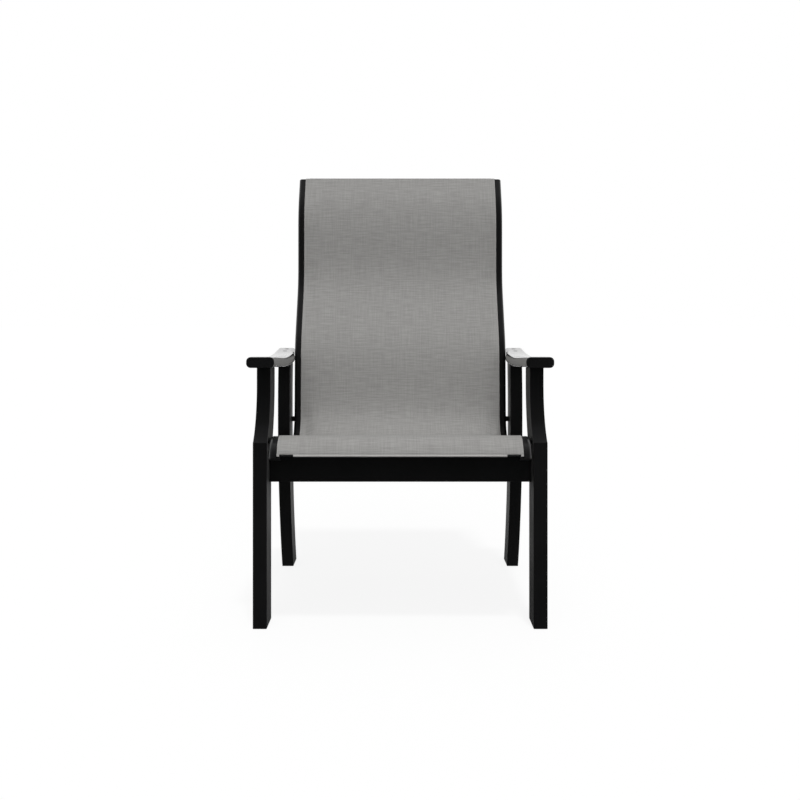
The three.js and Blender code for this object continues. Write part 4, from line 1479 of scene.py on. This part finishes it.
@dataclass
class Fasteners:
    """The bolts, screws and stand-offs, each at its CAD node's place."""

    materials: Materials
    spacer_bore: float = 4.3
    spacer_edge: float = 0.6
    # How far the lobes of a socket stand out, as a share of its radius
    socket_lobe: float = 0.13
    # A domed head: the flat round its socket, the dome's share of its height, and its broken edge
    dome_flat: float = 0.8
    dome_share: float = 0.75
    dome_edge: float = 0.3
    dome_steps: int = 8
    # The socket's floor as a share of its radius, and the bevel round its mouth
    dome_socket: tuple[float, float] = (0.96, 0.25)
    cone_socket: tuple[float, float] = (0.95, 0.2)
    cone_edge: float = 0.25
    bolt_tip: float = 1.0
    screw_tip: float = 4.0
    screw_point: float = 0.4

    def socket(self, radius: float, depth: float, floor: float, bevel: float) -> list[tuple[float, ...]]:
        """The start of a head's profile: a six-lobed socket, from the middle of its floor to its mouth.

        Args:
            radius: The socket's radius.
            depth: Its depth.
            floor: Its floor's share of the radius.
            bevel: The bevel round its mouth.

        Returns:
            Rows of radius, depth and lobe.
        """
        lobe = self.socket_lobe
        mouth = [(radius, bevel, lobe), (radius + bevel, 0, lobe)]
        return [(0, depth, 0), (radius * floor, depth, lobe), *mouth]

    def domed(self, head: Head, length: float) -> Array:
        """The profile of a bolt with a domed head: an ellipse's quarter over a short straight side.

        Args:
            head: Its head.
            length: Its whole length.

        Returns:
            Rows of radius, depth and lobe.
        """
        radius, height, shank, socket, depth = head.value
        edge, tip = self.dome_edge, self.bolt_tip
        flat = socket + self.dome_flat
        angle = np.linspace(0, math.pi / 2, self.dome_steps + 1)
        swell = flat + (radius - flat) * np.sin(angle)
        dome = np.stack([swell, self.dome_share * height * (1 - np.cos(angle)), 0 * angle], axis=-1)
        start = self.socket(socket, depth, *self.dome_socket)
        side = [(radius, height - edge, 0), (radius - edge, height, 0), (shank, height, 0)]
        end = [(shank, length - tip, 0), (shank - tip, length, 0), (0, length, 0)]
        return np.concatenate([start, dome, side, end])

    def countersunk(self, head: Head, length: float) -> Array:
        """The profile of a countersunk screw: a flat top over a cone.

        Args:
            head: Its head.
            length: Its whole length.

        Returns:
            Rows of radius, depth and lobe.
        """
        radius, height, shank, socket, depth = head.value
        edge = self.cone_edge
        start = self.socket(socket, depth, *self.cone_socket)
        cone = [(radius - edge, 0, 0), (radius, edge, 0), (shank, height, 0)]
        end = [(shank, length - self.screw_tip, 0), (self.screw_point, length, 0), (0, length, 0)]
        return np.array(start + cone + end, float)

    def spacer(self, node: str) -> Shell:
        """A stand-off: a bored tube whose section is a rectangle with broken corners, turned round X.

        Args:
            node: Its CAD node.

        Returns:
            The tube.
        """
        low, high = cad_box(node)
        radius, length = (high[2] - low[2]) / 2, high[0] - low[0]
        edge, bore = self.spacer_edge, self.spacer_bore
        profile = [(bore, edge, 0), (bore + edge, 0, 0), (radius - edge, 0, 0), (radius, edge, 0)]
        profile += [(radius, length - edge, 0), (radius - edge, length, 0)]
        profile += [(bore + edge, length, 0), (bore, length - edge, 0)]
        place = (low[0], (low[1] + high[1]) / 2, (low[2] + high[2]) / 2)
        shell = turned(np.array(profile, float), place, (1, 0, 0))
        return skin(shell.points.reshape(len(profile), -1, 3), closed=True)

    def add(self, node: str, head: Head, axis: tuple[float, float, float]) -> None:
        """Makes a bolt or screw in its CAD node's box.

        Args:
            node: Its CAD node.
            head: Its head.
            axis: The unit direction from its head to its tip.
        """
        low, high = cad_box(node)
        direction = np.array(axis)
        place = np.where(direction == 0, (low + high) / 2, np.where(direction > 0, low, high))
        length = float(np.abs((high - low) @ direction))
        profile = (self.countersunk if head is Head.COUNTERSUNK else self.domed)(head, length)
        shell = turned(profile, place, axis)
        make_piece(f"{node}_head", [shell], self.materials["steel"], [node])

    def build(self) -> None:
        """Makes every fastener and stand-off on both sides."""
        boards = ("apron_screw_lower", "apron_screw_upper", "stretcher_screw_lower", "stretcher_screw_upper")
        for side in Side:
            inward = (-float(side.value), 0.0, 0.0)
            outward = (float(side.value), 0.0, 0.0)
            for end in ("front", "rear"):
                self.add(f"{end}_sling_bolt_{side.label}", Head.SLING_BOLT, inward)
                node = f"{end}_spacer_{side.label}"
                nylon = self.materials["fitting"]
                make_piece(f"{node}_tube", [self.spacer(node)], nylon, [node])
            for spreader in SPREADERS:
                self.add(f"{spreader}_bolt_{side.label}", Head.SPREADER_BOLT, inward)
            for name in boards:
                self.add(f"{name}_{side.label}", Head.COUNTERSUNK, inward)
            for name in ARM_SCREWS:
                self.add(f"arm_screw_{name}_{side.label}", Head.COUNTERSUNK, (0.0, 0.0, -1.0))
            self.add(f"tenon_screw_{side.label}", Head.TENON_SCREW, outward)


@dataclass
class Studio:
    """The camera at the photo's viewpoint, a soft key lamp, a white room and a pale floor."""

    image_size: float = 800.0
    horizon_row: float = 315.0
    centre_column: float = 400.2
    lens: float = 50.0
    sensor: float = 36.0
    camera_height: float = 706.7
    camera_distance: float = 2500.0
    # In metres
    floor_half: float = 60.0
    floor_glow: float = 0.885
    floor_seen: str = "#616161"
    floor_lit: str = "#989898"
    # What lights dull faces: the middle of the room, its sides, where they start as the square of X,
    # and what the camera's side adds
    ambient: float = 0.88
    ambient_side: float = 0.1
    side_from: float = 0.25
    front_boost: float = 1.65
    key_strength: float = 1.55
    key_size: float = 6.0
    # How the key's light travels
    key_travel: tuple[float, float, float] = (-0.075, 0.4, -1.0)
    # The room as polished and coated faces see it: dim on the camera's side, white above and behind
    room_dim: float = 0.08
    room_low: float = -1.0
    room_high: float = 1.0
    floor_low: float = -0.2
    floor_high: float = 1.6

    def camera(self) -> None:
        """A level camera, whose frame is shifted until the horizon and the middle lie as in the photo."""
        lens = bpy.data.cameras.new("camera")
        lens.lens = self.lens
        lens.sensor_width = self.sensor
        lens.shift_x = (self.image_size / 2 - self.centre_column) / self.image_size
        lens.shift_y = (self.horizon_row - self.image_size / 2) / self.image_size
        lens.clip_end = 4 * self.floor_half
        camera = bpy.data.objects.new("camera", lens)
        camera.location = (0, (FRONT_FACE - self.camera_distance) * MM, self.camera_height * MM)
        camera.rotation_euler = (math.pi / 2, 0, 0)
        bpy.context.scene.collection.objects.link(camera)
        bpy.context.scene.camera = camera

    def key(self) -> None:
        """A soft lamp above and in front, which leaves the floor's faint shadow. Mirrors don't show it."""
        lamp = bpy.data.lights.new("key_lamp", "SUN")
        lamp.energy = self.key_strength
        lamp.angle = math.radians(self.key_size)
        thing = bpy.data.objects.new("key_lamp", lamp)
        across, back, down = self.key_travel
        thing.rotation_euler = (math.atan2(math.hypot(across, back), -down), 0, math.atan2(-across, back))
        thing.visible_glossy = False
        bpy.context.scene.collection.objects.link(thing)

    def mirrored_room(self, tree: Tree, value: Socket, low: float, high: float) -> Socket:
        """What glossy faces see: a smooth rise from the room's dim strength to 1.

        Args:
            tree: The node tree.
            value: How far behind the camera's side a direction or a place lies.
            low: Where the rise starts.
            high: Where it ends.

        Returns:
            The strength.
        """
        inputs = {"Value": value, "From Min": low, "From Max": high, "To Min": self.room_dim, "To Max": 1.0}
        settings = {"interpolation_type": "SMOOTHSTEP"}
        return add_node(tree, "ShaderNodeMapRange", settings, inputs).outputs["Result"]

    def by_ray(self, tree: Tree, dull: Value, glossy: Value, seen: Value) -> Socket:
        """Chooses a value by the kind of ray that asks for it.

        Args:
            tree: The node tree.
            dull: For what lights dull faces.
            glossy: For what glossy faces mirror.
            seen: For the camera, and for what is seen through glass.

        Returns:
            The value.
        """
        path = add_node(tree, "ShaderNodeLightPath").outputs
        value = dull
        for ray, other in (("Is Glossy Ray", glossy), ("Is Transmission Ray", seen), ("Is Camera Ray", seen)):
            inputs = {"Value": path[ray], "To Min": value, "To Max": other}
            value = add_node(tree, "ShaderNodeMapRange", inputs=inputs).outputs["Result"]
        return value

    def world(self) -> None:
        """A white room: full strength where it is seen, and less where it only lights the chair.

        What a glossy face sees of it rises with the direction's Y. What lights a dull face falls with the
        square of the direction's X, and rises on the camera's side with the square of its Y.
        """
        world = bpy.data.worlds.new("white_room")
        world.use_nodes = True
        tree = world.node_tree
        tree.nodes.clear()
        direction = add_node(tree, "ShaderNodeTexCoord").outputs["Generated"]
        parts = add_node(tree, "ShaderNodeSeparateXYZ", inputs={"Vector": direction}).outputs
        room = self.mirrored_room(tree, parts["Y"], self.room_low, self.room_high)
        ahead = add_node(tree, "ShaderNodeMath", {"operation": "MINIMUM"}, {0: parts["Y"], 1: 0.0}).outputs[0]
        times = {"operation": "MULTIPLY"}
        ranges = []
        for part, near, far, span in (
            (parts["X"], self.ambient, self.ambient_side, self.side_from),
            (ahead, 1.0, 1 + self.front_boost, 1.0),
        ):
            square = add_node(tree, "ShaderNodeMath", times, {0: part, 1: part}).outputs[0]
            inputs = {"Value": square, "From Max": span, "To Min": near, "To Max": far}
            ranges.append(add_node(tree, "ShaderNodeMapRange", inputs=inputs).outputs["Result"])
        light = add_node(tree, "ShaderNodeMath", times, {0: ranges[0], 1: ranges[1]}).outputs[0]
        inputs = {"Color": linear("#ffffff"), "Strength": self.by_ray(tree, light, room, 1.0)}
        background = add_node(tree, "ShaderNodeBackground", inputs=inputs)
        add_node(tree, "ShaderNodeOutputWorld", inputs={"Surface": background.outputs[0]})
        # Sampling it as a lamp would hide from rough faces what glossy rays see
        world.cycles.sampling_method = "NONE"
        bpy.context.scene.world = world

    def floor(self) -> None:
        """A pale floor that glows where it is seen, so that only a faint shadow shows on it."""
        material = bpy.data.materials.new("studio_floor")
        material.use_nodes = True
        tree = material.node_tree
        tree.nodes.clear()
        place = add_node(tree, "ShaderNodeTexCoord").outputs["Object"]
        setback = add_node(tree, "ShaderNodeSeparateXYZ", inputs={"Vector": place}).outputs["Y"]
        room = self.mirrored_room(tree, setback, self.floor_low, self.floor_high)
        lit, seen = linear(self.floor_lit)[0], linear(self.floor_seen)[0]
        colour, strength = (
            self.by_ray(
                tree,
                dull,
                add_node(tree, "ShaderNodeMath", {"operation": "MULTIPLY"}, {0: room, 1: most}).outputs[0],
                most,
            )
            for dull, most in ((lit, seen), (0.0, self.floor_glow))
        )
        matt = add_node(tree, "ShaderNodeBsdfDiffuse", inputs={"Color": colour})
        inputs = {"Color": linear("#ffffff"), "Strength": strength}
        glow = add_node(tree, "ShaderNodeEmission", inputs=inputs)
        both = add_node(tree, "ShaderNodeAddShader", inputs={0: matt.outputs[0], 1: glow.outputs[0]})
        add_node(tree, "ShaderNodeOutputMaterial", inputs={"Surface": both.outputs[0]})
        half = self.floor_half
        mesh = bpy.data.meshes.new("studio_floor")
        corners = [(-half, -half, 0), (half, -half, 0), (half, half, 0), (-half, half, 0)]
        mesh.from_pydata(corners, [], [(0, 1, 2, 3)])
        mesh.materials.append(material)
        floor = bpy.data.objects.new("studio_floor", mesh)
        bpy.context.scene.collection.objects.link(floor)

    def build(self) -> None:
        """Sets up the camera, the key lamp, the room and the floor."""
        self.camera()
        self.key()
        self.world()
        self.floor()
        bpy.context.scene.view_settings.view_transform = "Standard"


def main() -> None:
    """Builds the studio and the chair, sub-assembly by sub-assembly."""
    logging.basicConfig(level=logging.INFO, format="%(name)s %(message)s")
    Studio().build()
    materials = Palette().build()
    line = SlingLine()
    SideFrame(materials).build()
    SlingFrame(line, materials).build()
    Sling(line, materials).build()
    Fasteners(materials).build()


if __name__ == "__main__":
    main()
